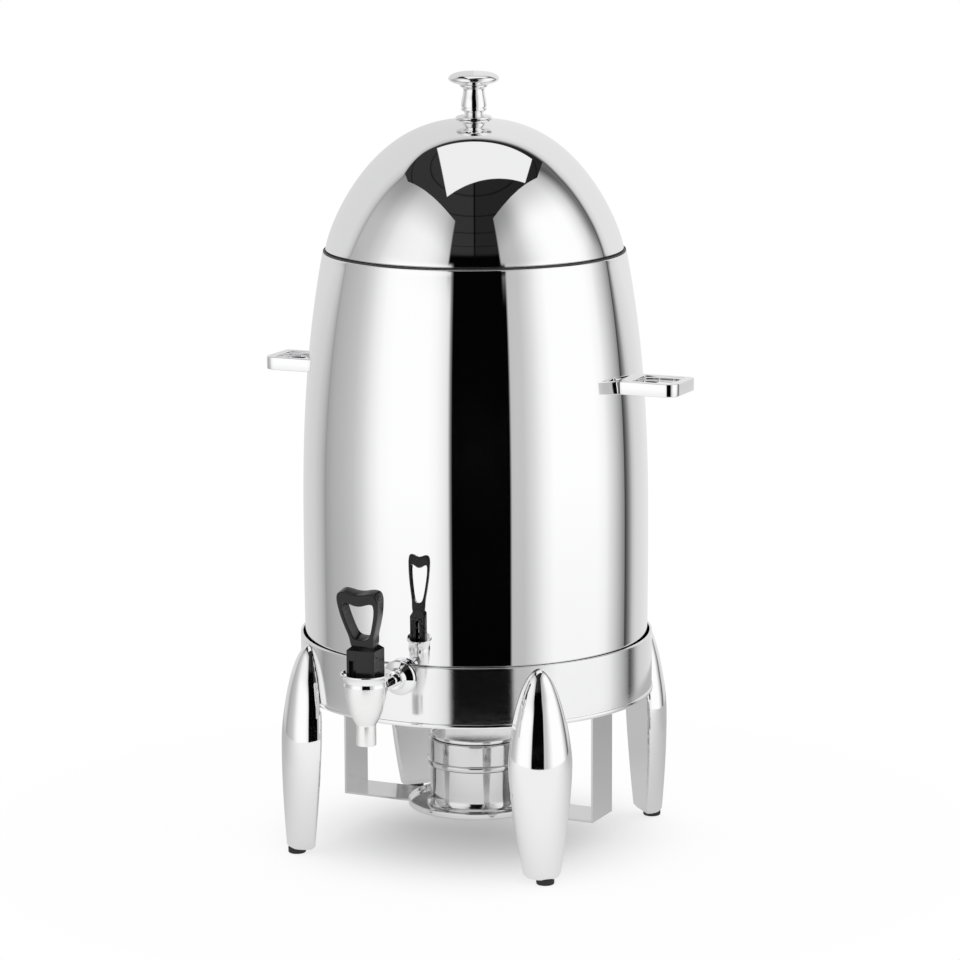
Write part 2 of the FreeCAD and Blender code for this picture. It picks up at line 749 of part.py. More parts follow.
def make_rose(clear):
    """Domed rose against the ring and the nut that tightens it."""
    start = ring_radius
    profile = [(0, -rose_sink), (rose_radius, -rose_sink), (rose_radius, rose_edge)]
    dome = [(rose_radius, rose_edge), (rose_radius * 0.86, rose_depth * 0.6), (jam_nut_radius + 0.4, rose_depth)]
    edges = [line(profile[0], profile[1]), line(profile[1], profile[2]), curve(dome),
             line(dome[-1], (0, rose_depth)), line((0, rose_depth), profile[0])]
    rose = lathe(edges)
    rose.rotate(ORIGIN, V(1, 0, 0), 90)
    rose.translate(V(0, -start, inlet_height))
    put("tap_rose", rose.cut(round_wall(ring_radius + seat_gap)).cut(clear))
    nut_start = start + rose_depth
    nut = along_tap(jam_nut_radius, nut_start, nut_start + jam_nut_depth)
    put("jam_nut", nut.cut(clear))


def tap_at():
    return V(0, -tap_reach, 0)


def make_tap_body():
    """Funnel-shaped tap with a short spout and the inlet stub at its back."""
    neck = spout_radius + 0.6
    side = [(neck + (funnel_radius - neck) * out, funnel_bottom + (funnel_top - funnel_bottom) * up)
            for up, out in funnel_shape]
    top = plate_bottom - 0.2
    edges = [line((0, spout_bottom), (spout_radius, spout_bottom)),
             line((spout_radius, spout_bottom), (spout_radius, funnel_bottom)),
             line((spout_radius, funnel_bottom), side[0]), curve(side),
             line(side[-1], (funnel_neck, funnel_top)), line((funnel_neck, funnel_top), (funnel_neck, top)),
             line((funnel_neck, top), (0, top)), line((0, top), (0, spout_bottom))]
    body = lathe(edges, tap_at())
    stub = cylinder(inlet_stub, inlet_stub_length, V(0, -tap_reach, inlet_height), V(0, 1, 0))
    body = body.fuse(stub)
    cavity = lathe_points([(0, seat_height), (seat_radius, seat_height), (funnel_cavity, seat_height + 8),
                           (funnel_cavity, top + 1), (0, top + 1)], tap_at())
    bore = cylinder(spout_bore, seat_height - spout_bottom + 2, tap_at() + V(0, 0, spout_bottom - 1))
    inlet = cylinder(shank_radius + pin_gap, inlet_stub_length, V(0, shank_stop - tap_reach, inlet_height), V(0, 1, 0))
    way = cylinder(shank_bore, 20, V(0, -tap_reach, inlet_height), V(0, 1, 0))
    put("tap_body", body.cut(cavity).cut(bore).cut(inlet).cut(way).removeSplitter())


def make_bonnet():
    """Flared collar screwed on the funnel; its plate guides the stem."""
    put("tap_bonnet", lathe_points([
        (bonnet_low_radius - 0.4, funnel_top + bonnet_gap), (bonnet_low_radius, funnel_top + 0.8),
        (bonnet_low_radius + 0.6, funnel_top + 4), (bonnet_radius - 0.7, bonnet_top - 2.2),
        (bonnet_radius, bonnet_top - 1.0), (bonnet_radius - 0.4, bonnet_top),
        (bonnet_radius - bonnet_rim, bonnet_top), (bonnet_radius - bonnet_rim - 0.8, plate_top),
        (stem_radius + pin_gap, plate_top), (stem_radius + pin_gap, plate_bottom),
        (funnel_neck + thread_gap, plate_bottom), (funnel_neck + thread_gap, funnel_top + bonnet_gap)], tap_at()))


def make_valve():
    """Stem, silicone seal cup and coil spring inside the tap."""
    at = tap_at()
    stem = cylinder(stem_radius, pin_height + 3.5 - collar_bottom + 4.0, at + V(0, 0, collar_bottom - 4.0))
    collar = cylinder(stem_collar_radius, stem_collar, at + V(0, 0, collar_bottom))
    stem = stem.fuse(collar).removeSplitter()
    hole = cylinder(pin_radius + 0.02, 20, V(-10, -tap_reach, pin_height), V(1, 0, 0))
    put("valve_stem", stem.cut(hole))
    cup = lathe_points([
        (0, seat_height), (seal_cup_radius, seat_height), (seal_cup_radius, seat_height + 1.5),
        (seal_cup_radius - 1.6, seat_height + 3.0), (seal_cup_radius - 1.0, collar_bottom),
        (stem_radius + 0.02, collar_bottom), (stem_radius + 0.02, collar_bottom - 4.1), (0, collar_bottom - 4.1)], at)
    put("seal_cup", cup)
    put("handle_pin", cylinder(pin_radius, block_width - 1.0, V(-(block_width - 1.0) / 2, -tap_reach, pin_height),
                               V(1, 0, 0)))
    low = collar_top + 0.05
    high = plate_bottom - 0.05
    outer = spring_mean_radius + spring_wire / 2
    spring = cylinder(outer, high - low, at + V(0, 0, low))
    spring = spring.cut(cylinder(outer - spring_wire, high - low + 2, at + V(0, 0, low - 1)))
    put("valve_spring", spring)


def handle_outline():
    """Outer and inner half outlines of the loop as (x, height above the handle's foot) pairs."""
    top = loop_height
    wide = loop_half_width
    outer = [(neck_half_width, block_height - neck_sink), (neck_half_width + 0.6, block_height + 5),
             (wide * 0.83, top * 0.66), (wide * 0.985, top * 0.85), (wide * 0.99, top * 0.94),
             (wide * 0.80, top - 0.4), (wide * 0.42, top - 0.9), (0, top - 2.2)]
    inside = wide - loop_bar
    under = top - finger_bar
    inner = [(0, block_height + 5.0), (inside * 0.36, block_height + 8.0), (inside * 0.80, top * 0.655),
             (inside * 0.99, top * 0.80), (inside * 0.93, under + 0.6), (inside * 0.55, under - 0.4), (0, under - 2.6)]
    return outer, inner


def mirrored(points):
    return [(-x, z) for x, z in points[::-1]]


def make_tap_handle():
    """Black moulded handle: finger loop on a bevelled block that straddles the stem."""
    half = block_width / 2
    deep = block_depth / 2
    base = V(0, -tap_reach, block_bottom)
    foot = block((-half, -deep, 0), (half, deep, block_height))
    upper = [e for e in foot.Edges if e.BoundBox.ZMin > block_height - 0.1]
    foot = foot.makeChamfer(block_bevel, upper)
    front = [e for e in foot.Edges if e.BoundBox.ZMax < 0.1 and e.BoundBox.YMax < -deep + 0.1]
    foot = foot.makeFillet(2.0, front)
    outer, inner = handle_outline()
    ring = Part.Wire([curve(outer), curve(mirrored(outer)), line((-outer[0][0], outer[0][1]), outer[0])])
    window = Part.Wire([curve(inner), curve(mirrored(inner))])
    plate = Part.Face(ring).extrude(V(0, loop_thickness, 0))
    gap = Part.Face(window).extrude(V(0, loop_thickness + 4, 0))
    gap.translate(V(0, -2, 0))
    loop = plate.cut(gap)
    loop.translate(V(0, -loop_thickness / 2, 0))
    loop.rotate(V(0, 0, block_height - neck_sink), V(1, 0, 0), loop_lean)
    handle = foot.fuse(loop)
    handle.translate(base)
    slot = block((-slot_half_width, -tap_reach - slot_front, block_bottom - 1),
                 (slot_half_width, -tap_reach + deep + 1, block_bottom + slot_height))
    hole = cylinder(pin_radius + pin_gap, block_width + 2, V(-half - 1, -tap_reach, pin_height), V(1, 0, 0))
    put("tap_handle", handle.cut(slot).cut(hole).removeSplitter())


def build():
    make_base_ring()
    make_shelf_ring()
    make_outer_shell()
    make_pan_bottom()
    make_liner()
    make_liner_seal()
    seat = make_lid()
    make_lid_rim()
    make_knob(seat)
    make_legs()
    make_leg_screws()
    make_bracket()
    make_bracket_screws()
    make_fuel_holder()
    plate = make_cover()
    make_damper(plate)
    make_side_handle(1, "side_handle_right")
    make_side_handle(-1, "side_handle_left")
    make_handle_screws()
    make_shank()
    make_tap_body()
    make_bonnet()
    make_valve()
    make_tap_handle()


build()
os.makedirs("parts", exist_ok=True)
for name, shape in sorted(parts.items()):
    if not shape.isValid() or shape.Volume <= 0:
        print("check", name, shape.isValid(), round(shape.Volume, 1))
    shape.exportStep("parts/" + name + ".step")
print(len(parts), "sub-parts, height", round(max(s.BoundBox.ZMax for s in parts.values()), 1))
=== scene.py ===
"""Coffee urn: mirror steel body on cast legs, with a lift-off lid, a lever tap and a fuel holder.

Metres in Blender, millimetres in the named sizes. +Z up, the urn's axis is Z and the tap faces -Y.
"""
import math
import bpy
import numpy as np
from mathutils import Matrix


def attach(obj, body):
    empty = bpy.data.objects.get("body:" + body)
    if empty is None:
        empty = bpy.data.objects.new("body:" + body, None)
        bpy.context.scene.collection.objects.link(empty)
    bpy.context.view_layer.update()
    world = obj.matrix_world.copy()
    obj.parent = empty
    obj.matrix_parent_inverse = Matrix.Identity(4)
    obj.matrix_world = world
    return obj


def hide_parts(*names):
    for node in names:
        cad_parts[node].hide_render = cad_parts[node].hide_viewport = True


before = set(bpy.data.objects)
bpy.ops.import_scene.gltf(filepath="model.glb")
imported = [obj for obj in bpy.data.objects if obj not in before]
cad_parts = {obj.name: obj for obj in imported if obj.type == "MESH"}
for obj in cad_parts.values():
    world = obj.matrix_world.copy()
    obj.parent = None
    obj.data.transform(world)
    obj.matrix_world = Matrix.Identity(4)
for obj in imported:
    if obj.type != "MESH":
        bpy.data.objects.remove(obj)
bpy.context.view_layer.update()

# Body and lid, in millimetres as all named sizes
body_low = 132.0
body_top = 462.5
belly_height = 240.0
belly_radius = 133.6
shoulder_drop = 17.3
foot_drop = 0.9
sheet = 1.0
rim_turn = 4.5
liner_radius = 106.0
liner_floor = 140.2
flange_width = 6.4
seal_height = 0.8
lid_low = 464.3
lid_radius = 114.2
lid_height = 99.0
knob_foot_height = 562.98
knob_height = 36.4

# Ring, legs and feet
ring_low = 119.3
ring_top = 166.0
ring_radius = 136.8
ring_wall = 1.2
leg_top = 164.0
leg_widest = 92.0
leg_low = 4.5
leg_circle = 137.0
leg_back = 134.0
leg_half_width = 25.2
leg_depth = 20.6
leg_lean = 4.2
foot_radius = 6.9
foot_inset = 10.5

# Side handles
handle_low = 362.0
handle_tall = 10.0
handle_tip = 173.8
handle_half_width = 20.8
handle_bar = 6.0

# Fuel holder and tray
tray_height = 26.7
tray_sheet = 1.5
tray_radius = 54.0
cup_radius = 36.6
cup_sheet = 0.9
holder_top = 63.1
cover_radius = 37.8
plate_height = 80.1
damper_radius = 37.0

# Tap
tap_reach = 193.3
tap_axis = (0.0, -tap_reach)
inlet_height = 156.5
spout_low = 118.0
bonnet_low = 163.0
grip_low = 168.3
block_height = 26.0
block_half_width = 11.0
block_half_depth = 10.0
loop_root = 24.0
loop_lean = 12.0
loop_half_depth = 6.0

# Camera: angles in radians, places in metres, focal length in widths of a pixel
camera_turn = 0.43610
camera_pitch = 0.189086
camera_yaw = 0.0011231
camera_roll = -0.0047147
camera_distance = 2.97783
camera_height = 0.85295
camera_focal = 3915.18
picture_width = 960
to_right = (math.cos(camera_turn), math.sin(camera_turn), 0.0)
to_camera = (math.sin(camera_turn), -math.cos(camera_turn), 0.0)


# Curves and surfaces

def soften(corners, cut, closed=True, steps=6):
    """Corners of an outline, each replaced by a parabola.

    A parabola leaves its first edge `cut` before the corner and meets the next edge `cut` after it:
    (1-t)^2 start + 2t(1-t) corner + t^2 end, with t from 0 to 1. An open outline keeps its two end points.
    """
    c = np.asarray(corners, float)
    size = np.broadcast_to(np.asarray(cut, float), (len(c),))[:, None]
    before = np.roll(c, 1, 0) - c
    after = np.roll(c, -1, 0) - c
    long_before = np.linalg.norm(before, axis=1, keepdims=True)
    long_after = np.linalg.norm(after, axis=1, keepdims=True)
    start = c + before / long_before * np.minimum(size, long_before * 0.48)
    end = c + after / long_after * np.minimum(size, long_after * 0.48)
    t = np.linspace(0, 1, steps)[None, :, None]
    bent = (1 - t) ** 2 * start[:, None] + 2 * t * (1 - t) * c[:, None] + t ** 2 * end[:, None]
    if closed:
        return bent.reshape(-1, c.shape[1])
    return np.vstack([c[:1], bent[1:-1].reshape(-1, c.shape[1]), c[-1:]])


def smooth_line(points, count, closed=False):
    """Points along a smooth curve through the given points.

    Between two points the curve is the cubic whose slope at each point is half the step between that
    point's neighbours.
    """
    p = np.asarray(points, float)
    if closed:
        p = np.vstack([p[-1:], p, p[:2]])
        spans = len(points)
    else:
        p = np.vstack([2 * p[:1] - p[1:2], p, 2 * p[-1:] - p[-2:-1]])
        spans = len(points) - 1
    at = np.linspace(0, spans, count, endpoint=not closed)
    i = np.minimum(at.astype(int), spans - 1)
    t = (at - i)[:, None]
    a, b, c, d = p[i], p[i + 1], p[i + 2], p[i + 3]
    squared = 2 * a - 5 * b + 4 * c - d
    cubed = 3 * b - a - 3 * c + d
    return 0.5 * (2 * b + (c - a) * t + squared * t ** 2 + cubed * t ** 3)


def evened(points, count):
    """The same line with its points at equal distances along it."""
    p = np.asarray(points, float)
    along = np.concatenate([[0.0], np.cumsum(np.linalg.norm(np.diff(p, axis=0), axis=1))])
    at = np.linspace(0, along[-1], count)
    return np.stack([np.interp(at, along, p[:, k]) for k in range(p.shape[1])], 1)


def grid_faces(rows, columns, loop):
    """Quads between neighbouring rows of a grid whose columns go all the way round."""
    last = rows if loop else rows - 1
    r = np.arange(last)[:, None]
    c = np.arange(columns)[None, :]
    over = (r + 1) % rows
    side = (c + 1) % columns
    quads = np.stack([r * columns + c, r * columns + side, over * columns + side, over * columns + c], -1)
    return quads.reshape(-1, 4)


def fan(point, ring):
    """Triangles from one point to a ring of points, given as numbers of vertices."""
    return np.stack([np.full(len(ring), point), np.roll(ring, -1), ring], 1)


def make_piece(name, shells, material, body, replaced=(), crease=38.0):
    """One object from closed shells of (vertices in millimetres, quads, triangles), its faces outwards."""
    vertices = []
    faces = []
    start = 0
    for points, quads, triangles in shells:
        halves = np.vstack([quads[:, [0, 1, 2]], quads[:, [0, 2, 3]], triangles])
        a, b, c = points[halves[:, 0]], points[halves[:, 1]], points[halves[:, 2]]
        inside_out = np.einsum("ij,ij->i", a, np.cross(b, c)).sum() < 0
        if inside_out:
            quads = quads[:, ::-1]
            triangles = triangles[:, ::-1]
        vertices.append(points * 0.001)
        faces += (quads + start).tolist() + (triangles + start).tolist()
        start += len(points)
    mesh = bpy.data.meshes.new(name)
    mesh.from_pydata(np.vstack(vertices), [], faces)
    mesh.polygons.foreach_set("use_smooth", np.ones(len(mesh.polygons), bool))
    mesh.set_sharp_from_angle(angle=math.radians(crease))
    mesh.update()
    mesh.materials.append(material)
    piece = bpy.data.objects.new(name, mesh)
    bpy.context.scene.collection.objects.link(piece)
    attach(piece, body)
    if replaced:
        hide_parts(*replaced)
    return piece


def tube_shell(rings, loop=False, first=None, last=None):
    """Closed shell from rings of points.

    The last ring joins the first in a loop. Otherwise a fan to a given point closes each end.
    """
    rows, columns = rings.shape[:2]
    points = rings.reshape(-1, 3)
    triangles = np.zeros((0, 3), int)
    if first is not None:
        points = np.vstack([points, [first]])
        triangles = np.vstack([triangles, fan(len(points) - 1, np.arange(columns))])
    if last is not None:
        points = np.vstack([points, [last]])
        last_ring = (rows - 1) * columns + np.arange(columns)
        triangles = np.vstack([triangles, fan(len(points) - 1, last_ring)[:, ::-1]])
    return points, grid_faces(rows, columns, loop), triangles


def turned_shell(profile, around=192, centre=(0.0, 0.0)):
    """Outline of (radius, height) points turned about an upright axis: x = r cos a, y = r sin a, z = height.

    An outline that starts and ends on the axis is closed there; any other outline is taken as a closed loop.
    """
    p = np.asarray(profile, float)
    poles = p[0, 0] < 1e-6 and p[-1, 0] < 1e-6
    inner = p[1:-1] if poles else p
    a = np.linspace(0, 2 * np.pi, around, endpoint=False)[None, :]
    r = inner[:, 0][:, None]
    z = np.broadcast_to(inner[:, 1][:, None], (len(inner), around))
    rings = np.stack([centre[0] + r * np.cos(a), centre[1] + r * np.sin(a), z], -1)
    if poles:
        return tube_shell(rings, first=(centre[0], centre[1], p[0, 1]), last=(centre[0], centre[1], p[-1, 1]))
    return tube_shell(rings, loop=True)


def level_shell(shell):
    """A turned shell laid level along the tap's shank: (x, y, z) becomes (x, -z, y + inlet height)."""
    points, quads, triangles = shell
    laid = np.stack([points[:, 0], -points[:, 2], points[:, 1] + inlet_height], 1)
    return laid, quads, triangles


# Materials

def new_material(name):
    """A node material, its tree and its main shader."""
    material = bpy.data.materials.new(name)
    material.use_nodes = True
    tree = material.node_tree
    return material, tree, tree.nodes["Principled BSDF"]


def feed(tree, socket, value):
    """Link an output to a socket, or set the socket's own value."""
    if isinstance(value, bpy.types.NodeSocket):
        tree.links.new(value, socket)
    else:
        socket.default_value = value


def calc(tree, operation, first, second=0.0, third=0.0):
    """Output of one Math node."""
    node = tree.nodes.new("ShaderNodeMath")
    node.operation = operation
    for socket, value in zip(node.inputs, (first, second, third)):
        feed(tree, socket, value)
    return node.outputs[0]


def between(tree, value, low, high, to_low=0.0, to_high=1.0):
    """A value moved smoothly from one range to another, held at the ends."""
    node = tree.nodes.new("ShaderNodeMapRange")
    node.interpolation_type = "SMOOTHSTEP"
    for socket, item in zip(node.inputs, (value, low, high, to_low, to_high)):
        feed(tree, socket, item)
    return node.outputs[0]


def blended(tree, share, first, second):
    """A number that goes from the first to the second with a share from 0 to 1."""
    node = tree.nodes.new("ShaderNodeMix")
    node.data_type = "FLOAT"
    feed(tree, node.inputs[0], share)
    feed(tree, node.inputs[2], first)
    feed(tree, node.inputs[3], second)
    return node.outputs[0]


def grey(level):
    """Light of a grey given as 0 to 255."""
    c = level / 255.0
    return c / 12.92 if c <= 0.04045 else ((c + 0.055) / 1.055) ** 2.4


def part_of(tree, place, vector):
    """How far a place or a direction reaches along a vector."""
    node = tree.nodes.new("ShaderNodeVectorMath")
    node.operation = "DOT_PRODUCT"
    tree.links.new(place, node.inputs[0])
    node.inputs[1].default_value = vector
    return node.outputs["Value"]


def between_straight(tree, value, low, high):
    """Share of the way from low to high."""
    node = tree.nodes.new("ShaderNodeMapRange")
    for socket, item in zip(node.inputs, (value, low, high, 0.0, 1.0)):
        feed(tree, socket, item)
    return node.outputs[0]


def grey_ramp(tree, value, low, high, stops, shades=True):
    """Value of a colour ramp over a range, with stops of (place in the range, grey or number)."""
    node = tree.nodes.new("ShaderNodeValToRGB")
    ramp = node.color_ramp
    for i, (place, level) in enumerate(stops):
        share = (place - low) / (high - low)
        mark = ramp.elements[i] if i < 2 else ramp.elements.new(share)
        mark.position = share
        light = grey(level) if shades else level
        mark.color = (light, light, light, 1)
    tree.links.new(between_straight(tree, value, low, high), node.inputs[0])
    split = tree.nodes.new("ShaderNodeSeparateColor")
    tree.links.new(node.outputs[0], split.inputs[0])
    return split.outputs[0]


def spot(tree, scale=(1, 1, 1)):
    """Object coordinates, stretched."""
    place = tree.nodes.new("ShaderNodeTexCoord")
    mapping = tree.nodes.new("ShaderNodeMapping")
    mapping.inputs["Scale"].default_value = scale
    tree.links.new(place.outputs["Object"], mapping.inputs["Vector"])
    return mapping.outputs["Vector"]


def noise(tree, vector, scale, detail=3.0, rough=0.55):
    """Value of a noise texture."""
    node = tree.nodes.new("ShaderNodeTexNoise")
    node.inputs["Scale"].default_value = scale
    node.inputs["Detail"].default_value = detail
    node.inputs["Roughness"].default_value = rough
    tree.links.new(vector, node.inputs["Vector"])
    return node.outputs[0]


def bumped(tree, shader, height, strength, distance):
    """Bump from a height, on a shader."""
    node = tree.nodes.new("ShaderNodeBump")
    node.inputs["Strength"].default_value = strength
    node.inputs["Distance"].default_value = distance
    tree.links.new(height, node.inputs["Height"])
    tree.links.new(node.outputs[0], shader.inputs["Normal"])


def tinted(tree, share, dark, light):
    """Colour between two, by a share."""
    node = tree.nodes.new("ShaderNodeMix")
    node.data_type = "RGBA"
    feed(tree, node.inputs[0], share)
    node.inputs[6].default_value = (*dark, 1)
    node.inputs[7].default_value = (*light, 1)
    return node.outputs[2]


def polished_steel(name, base=(0.93, 0.93, 0.935), low=0.012, high=0.035, ripple=0.05, scale=14.0):
    """Buffed steel: a trace of unevenness in the sheet, faint polishing haze and fine wipe marks."""
    material, tree, shader = new_material(name)
    shader.inputs["Metallic"].default_value = 1.0
    haze = noise(tree, spot(tree), 9.0, 4.0)
    wipe = noise(tree, spot(tree, (1, 1, 0.12)), 260.0, 2.0)
    share = calc(tree, "MULTIPLY_ADD", wipe, 0.35, calc(tree, "MULTIPLY", haze, 0.65))
    tree.links.new(between(tree, share, 0.35, 0.75, low, high), shader.inputs["Roughness"])
    dark = tuple(c * 0.985 for c in base)
    tree.links.new(tinted(tree, haze, dark, base), shader.inputs["Base Color"])
    bumped(tree, shader, noise(tree, spot(tree), scale, 1.0), ripple, 0.0004)
    return material


def brushed_steel(name, along, base=(0.88, 0.88, 0.885), low=0.13, high=0.24, strength=0.25):
    """Steel with brush lines: noise squeezed across the lines, in its roughness, colour and bump."""
    material, tree, shader = new_material(name)
    shader.inputs["Metallic"].default_value = 1.0
    lines = noise(tree, spot(tree, along), 90.0, 5.0, 0.7)
    fine = noise(tree, spot(tree, along), 420.0, 3.0, 0.7)
    share = calc(tree, "MULTIPLY_ADD", lines, 0.6, calc(tree, "MULTIPLY", fine, 0.4))
    tree.links.new(between(tree, share, 0.35, 0.65, low, high), shader.inputs["Roughness"])
    dark = tuple(c * 0.93 for c in base)
    tree.links.new(tinted(tree, share, dark, base), shader.inputs["Base Color"])
    bumped(tree, shader, share, strength, 0.00008)
    return material


def moulded_black(name, base=(0.012, 0.012, 0.013), low=0.3, high=0.42, grain=900.0, strength=0.25):
    """Black moulded plastic or rubber: fine grain, slightly worn gloss."""
    material, tree, shader = new_material(name)
    shader.inputs["Specular IOR Level"].default_value = 0.4
    worn = noise(tree, spot(tree), 60.0, 3.0)
    tree.links.new(between(tree, worn, 0.3, 0.7, low, high), shader.inputs["Roughness"])
    light = tuple(c * 1.9 for c in base)
    tree.links.new(tinted(tree, worn, base, light), shader.inputs["Base Color"])
    bumped(tree, shader, noise(tree, spot(tree), grain, 2.0), strength, 0.00006)
    return material


mirror = polished_steel("mirror steel")
dome_mirror = polished_steel("mirror steel of the lid", ripple=0.04)
cast_mirror = polished_steel("polished casting", (0.93, 0.93, 0.93), 0.02, 0.05, ripple=0.10, scale=40.0)
tap_mirror = polished_steel("plated brass", (0.92, 0.92, 0.925), 0.015, 0.04, ripple=0.04, scale=60.0)
tap_satin = polished_steel("satin plating", (0.93, 0.93, 0.925), 0.16, 0.24, ripple=0.05, scale=90.0)
sheet_steel = polished_steel("rolled sheet", (0.84, 0.84, 0.845), 0.06, 0.13, ripple=0.06, scale=25.0)
cup_steel = polished_steel("pressed cup", (0.72, 0.72, 0.72), 0.06, 0.14, ripple=0.1, scale=30.0)
tray_steel = polished_steel("pressed tray", (0.8, 0.8, 0.8), 0.03, 0.07, ripple=0.1, scale=25.0)
strap_steel = polished_steel("flat strap", (0.7, 0.7, 0.7), 0.14, 0.24, ripple=0.08, scale=25.0)
ring_steel = brushed_steel("brushed ring", (0.35, 0.35, 22.0), low=0.045, high=0.09, strength=0.16)
plain_steel = brushed_steel("turned steel", (1.0, 1.0, 1.0), (0.8, 0.8, 0.81), 0.22, 0.34)
handle_black = moulded_black("black plastic", (0.004, 0.004, 0.0045), 0.12, 0.22)
rubber_black = moulded_black("black rubber", (0.014, 0.014, 0.014), 0.6, 0.75, grain=500.0)
# Near-black silicone: on the lid's seal this dark colour also stands in for the shade in the gap between lid
# and body.
silicone = moulded_black("silicone", (0.03, 0.03, 0.03), 0.5, 0.6, grain=300.0)


# Body, lid and knob

def body_radius(z):
    """Radius of the body: the belly's radius less a drop above and below.

    The drop grows with the 2.5th power of the way up to the shoulder, and with the square of the way down to
    the foot.
    """
    up = np.clip((z - belly_height) / (body_top - belly_height), 0, 1)
    down = np.clip((belly_height - z) / (belly_height - body_low), 0, 1)
    return belly_radius - shoulder_drop * up ** 2.5 - foot_drop * down ** 2


def make_body():
    """Body sheet: outer face, rolled top edge turned inwards, inner face."""
    up = np.linspace(body_low, body_top - 1.6, 90)
    outer = np.stack([body_radius(up), up], 1)
    top = body_radius(np.array(body_top))
    under = body_top - sheet
    rim = soften([outer[-1], (top + 0.1, body_top), (top - rim_turn, body_top), (top - rim_turn, under),
                  (top - sheet - 0.3, under)], 1.5, closed=False)
    down = np.linspace(body_top - sheet - 2.0, body_low, 60)
    inner = np.stack([body_radius(down) - sheet, down], 1)
    profile = np.vstack([outer, rim[1:], inner])
    make_piece("body_sheet", [turned_shell(profile, 256)], mirror, "urn", ["outer_shell"])


def dome_radius(share):
    """Radius of the dome at a share of its height: R (1 - share^1.29)^(1/2.4)."""
    return lid_radius * np.clip(1.0 - share ** 1.29, 0.0, 1.0) ** (1.0 / 2.4)


def make_lid():
    """Domed lid with a small rolled lower edge and a level seat under the knob."""
    share = 1.0 - (1.0 - np.linspace(0.0, 0.9995, 220)) ** 2.2
    r = dome_radius(share)
    z = lid_low + lid_height * share
    outer = np.stack([r, z], 1)
    outer = evened(outer[r > 12.0], 160)
    seat = np.array([(10.0, knob_foot_height), (0.0, knob_foot_height)])
    along = np.gradient(outer, axis=0)
    along /= np.linalg.norm(along, axis=1, keepdims=True)
    inner = outer + np.stack([-along[:, 1], along[:, 0]], 1) * sheet
    inner = inner[(inner[:, 1] > lid_low + 1.2) & (inner[:, 1] < knob_foot_height - sheet)][::-1]
    edge = soften([outer[3], (lid_radius + 0.15, lid_low), (lid_radius - sheet - 0.2, lid_low), inner[-1]],
                  0.5, closed=False)
    profile = np.vstack([[(0.0, knob_foot_height - sheet)], inner, edge[::-1][1:], outer[4:], seat])
    make_piece("dome", [turned_shell(profile, 256)], dome_mirror, "lid", ["lid_dome"])


def make_knob():
    """Turned knob: mushroom top, stepped neck, barrel, groove, waist and flared foot."""
    z = knob_foot_height
    top = z + knob_height
    cap = smooth_line([(0.01, top), (10.5, top - 0.7), (16.6, top - 2.5), (19.2, top - 5.0),
                       (18.9, top - 6.9), (17.2, top - 8.2)], 40)
    under = soften([(17.2, top - 8.2), (14.6, top - 9.3), (11.0, top - 10.2), (10.6, top - 11.8),
                    (8.9, top - 12.6), (8.1, top - 13.8), (8.0, top - 15.2)], 0.7, closed=False)
    barrel = smooth_line([(8.0, top - 15.2), (8.5, top - 18.0), (9.2, top - 21.5), (9.7, top - 25.0),
                          (9.7, z + 9.4)], 24)
    groove = soften([(9.7, z + 9.4), (8.9, z + 9.1), (8.9, z + 8.4), (9.7, z + 8.1)], 0.25, closed=False)
    foot = smooth_line([(9.7, z + 8.1), (9.6, z + 6.8), (8.0, z + 5.6), (7.0, z + 4.4), (7.6, z + 3.4),
                        (11.4, z + 2.7), (13.6, z + 1.7), (14.0, z + 0.6)], 48)
    flat = np.array([(13.6, z), (0.0, z)])
    profile = np.vstack([[(0.0, top)], cap[1:], under[1:], barrel[1:], groove[1:], foot[1:], flat])
    make_piece("turned_knob", [turned_shell(profile, 128)], tap_mirror, "lid", ["lid_knob"])


def make_liner():
    """Coffee vessel: straight wall, rounded floor corner and a flange that hangs on the body's rim."""
    top = body_top + seal_height + sheet
    low = liner_floor
    r = liner_radius
    edge = r + flange_width
    profile = soften([(0, low), (r - 1, low), (r, low + 1), (r, top - sheet), (edge, top - sheet),
                      (edge, top), (r - sheet, top), (r - sheet, low + sheet + 1),
                      (r - sheet - 1, low + sheet), (0, low + sheet)],
                     [0, 5, 5, 0.6, 0.4, 0.4, 1.2, 5, 5, 0], closed=False)
    make_piece("vessel", [turned_shell(profile, 160)], sheet_steel, "urn", ["coffee_liner"])


# Ring and legs

def make_ring():
    """Base ring: brushed wall, top edge turned in to a lip, lower edge rolled to a bead."""
    r = ring_radius
    low = ring_low - 0.3
    hem = [(r - ring_wall, low + 2.6), (r - 2.6, low + 2.4), (r - 2.6, low + 0.2), (r - 1.0, low - 0.05),
           (r + 0.6, low + 0.2), (r + 0.75, low + 1.8), (r + 0.5, low + 3.3), (r, low + 3.7)]
    lip = [(r, ring_top - 0.9), (r - 0.5, ring_top), (r - 2.0, ring_top), (r - 2.0, ring_top - ring_wall),
           (r - ring_wall, ring_top - 2.0)]
    profile = soften(hem + lip, 0.55)
    make_piece("ring_band", [turned_shell(profile, 256)], ring_steel, "urn", ["base_ring"])


